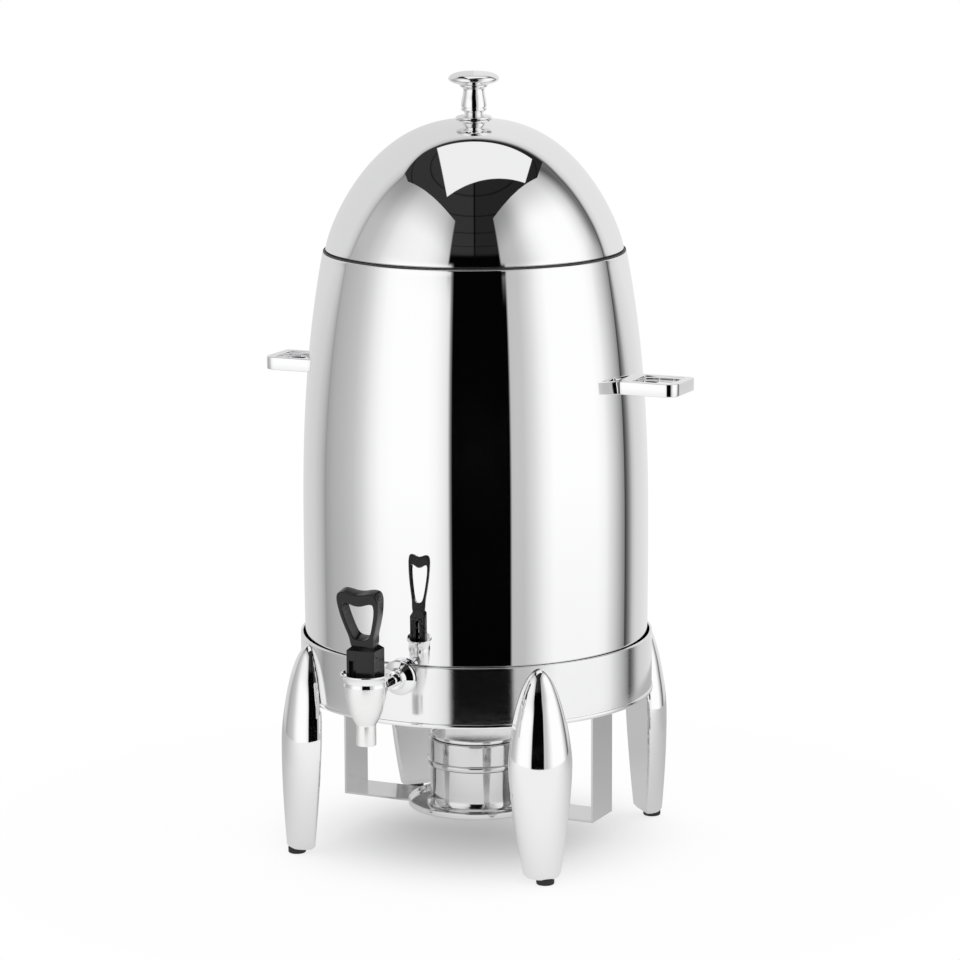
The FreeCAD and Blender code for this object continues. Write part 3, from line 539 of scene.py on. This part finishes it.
def make_leg(name, angle):
    """Cast leg: a torpedo with a flat back, set against the ring.

    At height z the front is a half ellipse. Above the widest height, with s the share of the way to the tip,
    its half width is the leg's times (1 - s^1.42)^0.5 and its depth the leg's times (1 - s^1.75)^0.55. Below
    it both shrink with the 1.6th power of the way down. The back follows the ring's face above the ring's
    lower edge and leans out below it.
    """
    s = np.linspace(0, 1, 46)
    high = leg_widest + (leg_top - 0.02 - leg_widest) * (1 - (1 - s) ** 2.3)
    z = np.concatenate([np.linspace(leg_low, leg_widest, 40)[:-1], high])
    up = np.clip((z - leg_widest) / (leg_top - leg_widest), 0, 1)
    down = np.clip((leg_widest - z) / (leg_widest - leg_low), 0, 1) ** 1.6
    upper_half = leg_half_width * np.clip(1 - up ** 1.42, 0, 1) ** 0.5
    upper_deep = leg_depth * np.clip(1 - up ** 1.75, 0, 1) ** 0.55
    half = np.where(z > leg_widest, upper_half, leg_half_width - 11.2 * down)
    deep = np.where(z > leg_widest, upper_deep, leg_depth - 5.6 * down)
    half = np.maximum(half, 0.35)
    deep = np.maximum(deep, 0.2)
    end = np.clip((leg_low + 2.2 - z) / 2.2, 0, 1)
    inset = 1.6 * (1 - np.sqrt(1 - end ** 2))
    half = half - inset
    deep = deep - inset
    lean = leg_lean * np.clip((ring_low - z) / (ring_low - leg_low), 0, 1)
    back = leg_back + lean + inset
    fillet = np.minimum(1.8, half * 0.4)
    phi = np.linspace(-np.pi / 2, np.pi / 2, 65)[None, :]
    face = ring_radius + 0.3
    front_y = half[:, None] * np.sin(phi)
    front_deep = deep + leg_circle + lean - back - fillet
    front_x = back[:, None] + fillet[:, None] + front_deep[:, None] * np.cos(phi)
    t = np.linspace(1, -1, 25)[None, 1:-1]
    back_y = half[:, None] * t
    over = np.clip((np.abs(back_y) - (half - fillet)[:, None]) / fillet[:, None], 0, 1)
    back_x = back[:, None] + fillet[:, None] * (1 - np.sqrt(1 - over ** 2))
    x = np.concatenate([front_x, back_x], 1)
    y = np.concatenate([front_y, back_y], 1)
    on_ring = np.sqrt(face ** 2 - y ** 2)
    seated = (z > ring_low - 3.0)[:, None]
    x = np.where(seated, np.maximum(x, on_ring), x)
    a = math.radians(angle)
    zz = np.broadcast_to(z[:, None], x.shape)
    rings = np.stack([x * math.cos(a) - y * math.sin(a), x * math.sin(a) + y * math.cos(a), zz], -1)
    low = rings[0].mean(0)
    tip = rings[-1].mean(0)
    shell = tube_shell(rings, first=low, last=tip)
    make_piece(name + "_casting", [shell], cast_mirror, "urn", [name], crease=50.0)


def make_foot(name, angle):
    """Rubber foot: a short plug with a rounded tread."""
    reach = leg_back + leg_lean + foot_inset
    a = math.radians(angle)
    top = leg_low + 0.2
    profile = soften([(0, 0), (foot_radius, 0), (foot_radius, top), (3.0, top), (3.0, leg_low + 8.0),
                      (0, leg_low + 8.0)], [0, 1.4, 0.3, 0.2, 0.3, 0], closed=False)
    shell = turned_shell(profile, 48, (reach * math.cos(a), reach * math.sin(a)))
    make_piece(name + "_tread", [shell], rubber_black, "urn", [name])


# Side handles

def rounded_rectangle(x0, x1, y1, corner, count=24):
    """Rectangle from x0 to x1 and -y1 to y1 with parabolic corners and equally many points on each side."""
    corners = [(x1, -y1), (x1, y1), (x0, y1), (x0, -y1)]
    bent = soften(corners, corner, steps=9)
    rows = []
    for i in range(4):
        rows.append(bent[9 * i:9 * i + 9])
        rest = np.linspace(bent[9 * i + 8], bent[(9 * i + 9) % 36], count)[1:-1]
        rows.append(rest)
    return np.vstack(rows)


def make_side_handle(name, side):
    """Rectangular loop of flat bar with softened edges.

    A point goes round the loop between an inner and an outer outline, and its section is a rectangle of the
    bar's width and height with rounded corners.
    """
    z = handle_low + handle_tall / 2
    wall = float(body_radius(np.array(z)))
    outer = rounded_rectangle(wall - 2.6, handle_tip, handle_half_width, [10.0, 3.0, 3.0, 3.0])
    inner = rounded_rectangle(wall + handle_bar, handle_tip - handle_bar, handle_half_width - handle_bar,
                              [6.0, 1.2, 1.2, 1.2])
    section = soften([(0, -1), (1, -1), (1, 1), (0, 1)], 0.14, steps=5)
    share = section[:, 0][None, :, None]
    rise = section[:, 1][None, :] * handle_tall / 2 + z
    plan = inner[:, None, :] * (1 - share) + outer[:, None, :] * share
    rings = np.concatenate([plan, np.broadcast_to(rise[:, :, None], plan.shape[:2] + (1,))], -1)
    rings = rings * np.array([side, 1.0, 1.0])
    make_piece(name + "_bar", [tube_shell(rings, loop=True)], mirror, "urn", [name], crease=60.0)


# Fuel holder and tray

def make_tray():
    """Round tray with a low upturned rim."""
    r = tray_radius
    z = tray_height - tray_sheet
    profile = soften([(0, z), (r, z), (r, z + 4.9), (r - 1.2, z + 4.9), (r - 1.2, tray_height),
                      (0, tray_height)], [0, 1.2, 0.5, 0.5, 0.8, 0], closed=False)
    make_piece("tray_dish", [turned_shell(profile, 192)], tray_steel, "urn", ["burner_tray"])


def make_holder():
    """Cup for the fuel tin: flared foot, straight wall."""
    z = tray_height
    r = cup_radius
    inside = r - cup_sheet
    profile = soften([(0, z), (39.4, z), (39.4, z + 1.1), (37.6, z + 3.0), (36.7, z + 6.2), (r, z + 10),
                      (r, holder_top), (inside, holder_top), (inside, z + 6), (r - 2.0, z + cup_sheet),
                      (0, z + cup_sheet)], [0, 0.4, 0.8, 2, 2, 2, 0.3, 0.3, 2, 2, 0], closed=False)
    make_piece("fuel_cup", [turned_shell(profile, 160)], cup_steel, "holder", ["fuel_holder"])


def make_cover():
    """Cover that stands on the cup: beaded lower edge, straight wall, rounded shoulder and an open top."""
    r = cover_radius
    low = holder_top - 5.0
    top = plate_height
    seat = holder_top + 0.05
    profile = soften([(36.9, low), (r, low), (r + 1.2, low + 0.8), (r + 1.35, low + 2.6),
                      (r + 1.2, low + 4.4), (r, low + 5.2), (r, top), (26, top), (26, top - 0.9),
                      (34.1, top - 0.9), (34.1, seat), (36.9, seat)],
                     [0.3, 0.3, 0.8, 0.8, 0.8, 0.4, 1.6, 0.3, 0.3, 0.8, 0.5, 0.5])
    make_piece("cup_cover", [turned_shell(profile, 160)], cup_steel, "cover", ["holder_cover"])


def make_damper():
    """Shallow dish over the cover's hole, with an upturned rim."""
    low = plate_height + 0.3
    r = damper_radius
    profile = soften([(0, low), (r, low), (r, low + 3.0), (r - 0.9, low + 3.0), (r - 1.1, low + 1.0),
                      (r - 9.0, low + 0.9), (0, low + 0.9)], [0, 1.5, 0.45, 0.45, 0.8, 2.0, 0], closed=False)
    make_piece("damper_dish", [turned_shell(profile, 160)], sheet_steel, "damper", ["damper"])


# Tap

def make_tap():
    """Tap body: flared funnel, straight spout and the inlet stub at its back."""
    low = spout_low
    wall = smooth_line([(7.6, low + 16.0), (8.4, low + 17.3), (10.2, low + 20.6), (11.9, low + 24.6),
                        (13.2, low + 29.0), (14.4, low + 34.5), (15.3, low + 40.0), (15.8, low + 45.0)], 48)
    spout = soften([(5.2, low + 14), (5.2, low), (7.4, low), (7.4, low + 15.4), (7.6, low + 16.0)],
                   [0, 0.35, 0.6, 0.3, 0], closed=False)
    top = soften([(15.8, low + 45.0), (15.8, low + 45.6), (14.6, low + 45.7), (14.6, low + 47.4),
                  (0, low + 47.4)], [0, 0.3, 0.2, 0.2, 0], closed=False)
    profile = np.vstack([[(0, low + 14)], spout, wall[1:], top[1:]])
    stub = soften([(0, tap_reach - 4.0), (6.4, tap_reach - 4.0), (6.4, 176.0), (7.8, 175.0), (7.8, 172.3),
                   (5.2, 172.3), (5.2, 173.5), (0, 173.5)],
                  [0, 0.2, 1.2, 0.5, 0.5, 0.2, 0.2, 0], closed=False)
    shells = [turned_shell(profile, 128, tap_axis), level_shell(turned_shell(stub, 64))]
    make_piece("tap_casting", shells, tap_satin, "urn", ["tap_body"])


def make_bonnet():
    """Collar of the tap: a nearly upright waist, a flare and a thin rolled lip round its sunk plate."""
    z = bonnet_low
    outer = smooth_line([(16.1, z + 0.1), (16.5, z + 0.3), (16.35, z + 1.6), (16.3, z + 3.5), (16.7, z + 5.6),
                         (17.6, z + 7.3), (18.5, z + 8.2)], 36)
    lip = soften([(18.5, z + 8.2), (19.0, z + 8.5), (19.0, z + 9.7), (17.7, z + 9.8), (16.4, z + 7.6),
                  (15.4, z + 5.1)], 0.45, closed=False)
    floor = np.array([(2.05, z + 5.0), (2.05, z + 2.8), (14.9, z + 2.8), (14.9, z + 0.1)])
    shell = turned_shell(np.vstack([outer, lip[1:], floor]), 128, tap_axis)
    make_piece("tap_collar", [shell], tap_mirror, "urn", ["tap_bonnet"])


def make_rose():
    """Conical rose against the ring, the round nut on it and the pipe through them."""
    start = ring_radius + 0.1
    dome = soften([(13.6, start - 0.4), (13.6, start + 1.0), (13.0, start + 2.2), (9.2, start + 4.4),
                   (7.9, start + 5.2), (7.6, start + 6.0)], 0.7, closed=False)
    back = [(0, start - 0.6), (13.2, start - 0.6)]
    front = [(5.2, start + 6.0), (0, start + 6.0)]
    profile = np.vstack([back, dome, front])
    make_piece("rose_dome", [level_shell(turned_shell(profile, 128))], tap_mirror, "urn", ["tap_rose"])
    nut = soften([(0, start + 5.9), (7.6, start + 5.9), (7.6, start + 10.9), (5.1, start + 10.9),
                  (0, start + 10.8)], [0, 0.2, 1.2, 0.3, 0], closed=False)
    make_piece("back_nut", [level_shell(turned_shell(nut, 96))], tap_mirror, "urn", ["jam_nut"])
    tube = np.array([(3.4, 96.2), (5.0, 96.2), (5.0, 181.3), (3.4, 181.3)])
    make_piece("tap_pipe", [level_shell(turned_shell(tube, 96))], tap_mirror, "urn", ["tap_shank"])


def handle_loop():
    """Shell of the finger loop: a bar between an outer and an inner outline, leaning forwards from its root.

    The right half of both outlines is written out, from the bottom to the top, and mirrored.
    """
    outer = np.array([(0.0, 22.0), (6.6, 22.3), (9.0, 26.0), (9.9, 33.0), (12.6, 41.5), (15.0, 50.0),
                      (16.5, 58.5), (16.8, 64.0), (15.6, 67.6), (12.4, 68.9), (8.2, 68.6), (4.0, 67.7),
                      (0.0, 67.3)])
    inner = np.array([(0.0, 31.3), (3.6, 31.8), (6.3, 33.8), (8.5, 38.4), (10.1, 43.6), (11.7, 49.6),
                      (12.7, 55.2), (12.7, 59.0), (11.9, 60.6), (9.4, 60.7), (5.8, 59.7), (2.9, 58.8),
                      (0.0, 58.5)])
    flip = np.array([-1.0, 1.0])
    outer = smooth_line(np.vstack([outer, outer[-2:0:-1] * flip]), 176, closed=True)
    inner = smooth_line(np.vstack([inner, inner[-2:0:-1] * flip]), 176, closed=True)
    section = soften([(0, -1), (1, -1), (1, 1), (0, 1)], [0.16, 0.3, 0.3, 0.16], steps=6)
    share = section[:, 0][None, :, None]
    plan = inner[:, None, :] * (1 - share) + outer[:, None, :] * share
    depth = np.broadcast_to(section[:, 1][None, :] * loop_half_depth, plan.shape[:2])
    lean = math.radians(loop_lean)
    above = plan[..., 1] - loop_root
    forward = depth * math.cos(lean) - above * math.sin(lean)
    height = depth * math.sin(lean) + above * math.cos(lean) + loop_root
    return tube_shell(np.stack([plan[..., 0], forward - tap_reach, height + grip_low], -1), loop=True)


def handle_block():
    """Shell of the block: level outlines with cut corners, drawn in at the top.

    The right half of the front is one wide, slanted facet. A slot for the stem enters from the back and a
    recess from the front. Both are notches in the outline, and above a notch's top its end points lie on the
    face.
    """
    half = block_half_width
    deep = block_half_depth
    slot_end = -8.4
    slot_top = 18.0
    recess_end = -6.4
    recess_top = 14.4
    bevel_low = 22.4
    bevel = 4.0
    plan = np.array([(half, -8.0), (half, 9.2), (10.2, deep), (2.6, deep), (2.6, slot_end), (-2.6, slot_end),
                     (-2.6, deep), (-10.2, deep), (-half, 9.2), (-half, -9.4), (-10.4, -deep), (-8.6, -deep),
                     (-8.6, recess_end), (-3.0, recess_end), (-3.0, -deep), (2.6, -deep)])
    heights = np.array([0.0, 2.0, 14.2, 14.7, 17.5, 19.0, bevel_low, block_height])[:, None]
    drawn_in = np.where(heights > bevel_low, bevel, 0.0)
    face = deep - drawn_in
    x = plan[:, 0] * (half - drawn_in) / half
    y = plan[:, 1] * face / deep
    y = np.where((plan[:, 1] == slot_end) & (heights > slot_top), face, y)
    y = np.where((plan[:, 1] == recess_end) & (heights > recess_top), -face, y)
    z = np.broadcast_to(heights + grip_low, x.shape)
    low_centre = (0, -tap_reach, grip_low)
    top_centre = (0, -tap_reach, grip_low + block_height)
    return tube_shell(np.stack([x, y - tap_reach, z], -1), first=low_centre, last=top_centre)


def make_tap_handle():
    """Black finger loop on its block, with small bevels on the block's edges."""
    piece = make_piece("finger_loop", [handle_loop(), handle_block()], handle_black, "lever", ["tap_handle"],
                       crease=30.0)
    bevel = piece.modifiers.new("edges", "BEVEL")
    bevel.width = 0.0005
    bevel.segments = 3
    bevel.limit_method = "ANGLE"
    bevel.angle_limit = math.radians(24)
    bevel.harden_normals = True


# Finishes of the CAD parts that stay

def finish_frame():
    """Procedural finish for each carried-over part: plain steel unless it is named here."""
    named = {
        "shelf_ring": sheet_steel, "pan_bottom": sheet_steel, "lid_rim": sheet_steel,
        "bracket_strap": strap_steel, "liner_seal": silicone, "inner_washer": silicone, "seal_cup": silicone,
        "valve_stem": tap_mirror, "handle_pin": tap_mirror}
    for name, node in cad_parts.items():
        node.data.materials.clear()
        node.data.materials.append(named.get(name, plain_steel))


# Studio

def make_camera():
    """Camera at the photograph's place: turned about the urn, pitched down, with a trace of yaw and roll."""
    right = np.array(to_right)
    ahead = -np.array(to_camera)
    up = np.array([0.0, 0.0, 1.0])
    place = -ahead * camera_distance + up * camera_height
    forward = right * math.sin(camera_yaw) + ahead * math.cos(camera_yaw)
    across = right * math.cos(camera_yaw) - ahead * math.sin(camera_yaw)
    look = forward * math.cos(camera_pitch) - up * math.sin(camera_pitch)
    over = forward * math.sin(camera_pitch) + up * math.cos(camera_pitch)
    side = across * math.cos(camera_roll) + over * math.sin(camera_roll)
    over = over * math.cos(camera_roll) - across * math.sin(camera_roll)
    data = bpy.data.cameras.new("camera")
    data.sensor_width = 36.0
    data.lens = camera_focal / picture_width * data.sensor_width
    camera = bpy.data.objects.new("camera", data)
    bpy.context.scene.collection.objects.link(camera)
    turn = np.eye(4)
    turn[:3, 0] = side
    turn[:3, 1] = over
    turn[:3, 2] = -look
    turn[:3, 3] = place
    camera.matrix_world = Matrix(turn.tolist())
    bpy.context.scene.camera = camera


def wall_light(tree, turn, high):
    """Light of the two side walls by the angle from the camera's side, in degrees.

    Each wall is bright in its middle and greyer towards both ends, and a black gap parts them. The first ramp
    is for level directions and the second for high ones, where the gap lies a few degrees further left.
    """
    level_walls = grey_ramp(tree, turn, -180, 180, [
        (-180, 216), (180, 216), (-118, 160), (-110, 175), (-97, 186), (-89, 195), (-81, 214), (-74, 236),
        (-66, 252), (-58, 256), (-32, 256), (-26, 250), (-20, 234), (-17.2, 214), (-16.7, 3), (23.4, 3),
        (23.9, 193), (32, 196), (39, 218), (46, 243), (53, 256), (88, 256), (96, 247), (101, 226), (105, 210),
        (108, 195), (112, 172), (115, 150), (118, 120)])
    high_walls = grey_ramp(tree, turn, -180, 180, [
        (-180, 216), (180, 216), (-118, 150), (-112, 160), (-108, 184), (-94, 188), (-88, 200), (-81, 212),
        (-75, 228), (-68, 238), (-58, 244), (-46, 246), (-38, 243), (-30, 232), (-24, 210), (-20.4, 190),
        (-19.9, 3), (19.7, 3), (20.2, 176), (27, 184), (34, 190), (40, 206), (47, 230), (53, 245), (60, 254),
        (66, 256), (92, 256), (99, 244), (106, 218), (112, 160), (116, 110)])
    walls = blended(tree, between(tree, high, 0.16, 0.34), level_walls, high_walls)
    return calc(tree, "MULTIPLY", walls, between(tree, high, -0.32, -0.13, 0.9, 1.0))


def ceiling_light(tree, right, high, on_left):
    """Dark ceiling with a darker line from front to back and others across it at even steps of height."""
    ceiling = blended(tree, on_left, grey(36), grey(50))
    aside = calc(tree, "ABSOLUTE", right)
    ceiling = calc(tree, "MULTIPLY", ceiling, between(tree, aside, 0.006, 0.016, 0.2, 1.0))
    plank = calc(tree, "FRACT", calc(tree, "MULTIPLY", high, 9.0))
    return calc(tree, "MULTIPLY", ceiling, between(tree, plank, 0.0, 0.12, 0.35, 1.0))


def overhead_share(tree, right, near, high):
    """Share of the overhead panel: a rectangle on a level plane, its near edge cut aslant."""
    lift = calc(tree, "MAXIMUM", high, 0.05)
    across = calc(tree, "DIVIDE", right, lift)
    towards = calc(tree, "DIVIDE", near, lift)
    slanted = calc(tree, "MULTIPLY_ADD", across, 0.36, towards)
    panel = calc(tree, "MULTIPLY", between(tree, across, -0.375, -0.365), between(tree, across, 0.65, 0.64))
    panel = calc(tree, "MULTIPLY", panel, between(tree, towards, -0.465, -0.455))
    return calc(tree, "MULTIPLY", panel, between(tree, slanted, 0.325, 0.315))


def with_backdrop(tree, room, near, high, on_left):
    """The room with the pale backdrop behind, which starts grey at its edges and gets lighter inwards."""
    left_limit = grey_ramp(tree, high, -1, 1, [
        (-1, 0.47), (1, 0.47), (-0.15, 0.47), (0.0, 0.41), (0.12, 0.35), (0.5, 0.29), (0.72, 0.25),
        (0.80, 0.41), (0.88, 0.48)], shades=False)
    right_limit = grey_ramp(tree, high, -1, 1, [
        (-1, 0.44), (1, 0.48), (0.29, 0.45), (0.6, 0.41), (0.84, 0.45)], shades=False)
    limit = blended(tree, on_left, right_limit, left_limit)
    behind = calc(tree, "SUBTRACT", calc(tree, "MULTIPLY", near, -1.0), limit)
    width = between(tree, high, -0.15, 0.1, 0.24, 0.08)
    reach = calc(tree, "DIVIDE", behind, width)
    left_back = grey_ramp(tree, reach, 0, 2, [(0, 146), (2, 216), (0.2, 172), (0.5, 190), (1.0, 206)])
    right_back = grey_ramp(tree, reach, 0, 2, [
        (0, 58), (2, 228), (0.15, 80), (0.4, 135), (0.7, 196), (1.0, 214)])
    backdrop = blended(tree, on_left, right_back, left_back)
    return blended(tree, between(tree, behind, 0.0, 0.006), room, backdrop)


def make_world():
    """Studio by direction: two side walls with a dark gap between them, an overhead panel, a dark ceiling
    and a pale backdrop behind. Camera rays see white, and diffuse rays see plain even light."""
    world = bpy.data.worlds.new("studio")
    bpy.context.scene.world = world
    world.use_nodes = True
    tree = world.node_tree
    tree.nodes.clear()
    direction = tree.nodes.new("ShaderNodeTexCoord").outputs["Generated"]
    right = part_of(tree, direction, to_right)
    near = part_of(tree, direction, to_camera)
    high = part_of(tree, direction, (0, 0, 1))
    turn = calc(tree, "MULTIPLY", calc(tree, "ARCTAN2", right, near), 180 / math.pi)
    on_left = calc(tree, "LESS_THAN", right, 0.0)

    level_near = calc(tree, "MAXIMUM", near, -0.12)
    left_edge = calc(tree, "MULTIPLY_ADD", right, -1.305, calc(tree, "MULTIPLY", level_near, 0.699))
    right_edge = calc(tree, "MULTIPLY_ADD", right, 1.411, calc(tree, "MULTIPLY", level_near, 0.72))
    below = calc(tree, "SUBTRACT", blended(tree, on_left, right_edge, left_edge), high)
    fade = between(tree, below, 0.0, 0.62, 0.6, 1.0)
    walls = calc(tree, "MULTIPLY", wall_light(tree, turn, high), fade)
    ceiling = ceiling_light(tree, right, high, on_left)
    gap = calc(tree, "MULTIPLY", between(tree, high, 0.42, 0.5), ceiling)
    left_of_gap = calc(tree, "GREATER_THAN", turn, -19.9)
    right_of_gap = calc(tree, "LESS_THAN", turn, 19.7)
    in_gap = calc(tree, "MULTIPLY", left_of_gap, right_of_gap)
    walls = calc(tree, "ADD", walls, calc(tree, "MULTIPLY", gap, in_gap))
    room = blended(tree, calc(tree, "GREATER_THAN", below, 0.0), ceiling, walls)
    room = blended(tree, overhead_share(tree, right, near, high), room, grey(240))
    room = with_backdrop(tree, room, near, high, on_left)

    rays = tree.nodes.new("ShaderNodeLightPath")
    mirror_ray = calc(tree, "MAXIMUM", rays.outputs["Is Glossy Ray"], rays.outputs["Is Transmission Ray"])
    level = blended(tree, mirror_ray, 0.97, calc(tree, "MULTIPLY", room, 1.06))
    level = blended(tree, rays.outputs["Is Camera Ray"], level, 1.0)
    sky = tree.nodes.new("ShaderNodeBackground")
    colour = tree.nodes.new("ShaderNodeCombineColor")
    for socket in colour.inputs:
        tree.links.new(level, socket)
    tree.links.new(colour.outputs[0], sky.inputs["Color"])
    sky.inputs["Strength"].default_value = 1.0
    out = tree.nodes.new("ShaderNodeOutputWorld")
    tree.links.new(sky.outputs[0], out.inputs["Surface"])


def mixed_shader(tree, share, first, second):
    """Output of a shader that goes from the first to the second with a share from 0 to 1."""
    node = tree.nodes.new("ShaderNodeMixShader")
    tree.links.new(share, node.inputs[0])
    tree.links.new(first, node.inputs[1])
    tree.links.new(second, node.inputs[2])
    return node.outputs[0]


def table_material():
    """Pale table: matt near the urn, where it takes the shadow, and plain white further out.

    In reflections it glows with painted shade, greyer behind the urn, and it ends a little way out from it on
    all sides.
    """
    material, tree, shader = new_material("pale table")
    tree.nodes.remove(shader)
    place = tree.nodes.new("ShaderNodeTexCoord").outputs["Object"]
    glossy = tree.nodes.new("ShaderNodeLightPath").outputs["Is Glossy Ray"]
    length = tree.nodes.new("ShaderNodeVectorMath")
    length.operation = "LENGTH"
    tree.links.new(place, length.inputs[0])
    away = length.outputs["Value"]
    matt = tree.nodes.new("ShaderNodeBsdfDiffuse")
    speck = noise(tree, place, 30.0, 2.0)
    tree.links.new(tinted(tree, speck, (0.955, 0.955, 0.955), (0.965, 0.965, 0.965)), matt.inputs["Color"])
    white = tree.nodes.new("ShaderNodeEmission")
    # Painted shade: glossy rays see the glowing table dimmer behind the urn, from 0.5 at the back to 0.93 in
    # front.
    reflected_painted_shade = between(tree, part_of(tree, place, to_camera), -0.2, 0.34, 0.5, 0.93)
    tree.links.new(blended(tree, glossy, 1.0, reflected_painted_shade), white.inputs["Strength"])
    near_white = between(tree, away, 0.035, 0.19, 0.15, 0.93)
    whiter = calc(tree, "MAXIMUM", near_white, between(tree, away, 0.19, 0.42))
    top = mixed_shader(tree, whiter, matt.outputs[0], white.outputs[0])
    clear = tree.nodes.new("ShaderNodeBsdfTransparent")
    past_edge = calc(tree, "MULTIPLY", between(tree, away, 0.62, 0.65), glossy)
    top = mixed_shader(tree, past_edge, top, clear.outputs[0])
    tree.links.new(top, tree.nodes["Material Output"].inputs["Surface"])
    return material


def make_floor():
    """Round level table of five rings of quads about a centre point, in metres."""
    around = 96
    low = -0.0001
    radii = np.array([0.35, 0.8, 1.6, 3.0, 6.0])
    a = np.linspace(0, 2 * np.pi, around, endpoint=False)
    x = np.outer(radii, np.cos(a))
    y = np.outer(radii, np.sin(a))
    points = np.stack([x, y, np.full(x.shape, low)], -1)
    points = np.vstack([points.reshape(-1, 3), [(0, 0, low)]])
    quads = grid_faces(len(radii), around, False)[:, ::-1]
    centre = fan(len(points) - 1, np.arange(around))[:, ::-1]
    mesh = bpy.data.meshes.new("floor")
    mesh.from_pydata(points, [], quads.tolist() + centre.tolist())
    mesh.materials.append(table_material())
    floor = bpy.data.objects.new("floor", mesh)
    bpy.context.scene.collection.objects.link(floor)


finish_frame()
make_body()
make_lid()
make_knob()
make_liner()
make_ring()
for place, angle in (("front_left", 225), ("front_right", 315), ("rear_left", 135), ("rear_right", 45)):
    make_leg("leg_" + place, angle)
    make_foot("foot_" + place, angle)
make_side_handle("side_handle_right", 1)
make_side_handle("side_handle_left", -1)
make_tray()
make_holder()
make_cover()
make_damper()
make_tap()
make_bonnet()
make_rose()
make_tap_handle()
make_camera()
make_world()
make_floor()

bpy.context.scene.view_settings.view_transform = "Standard"
bpy.context.view_layer.update()
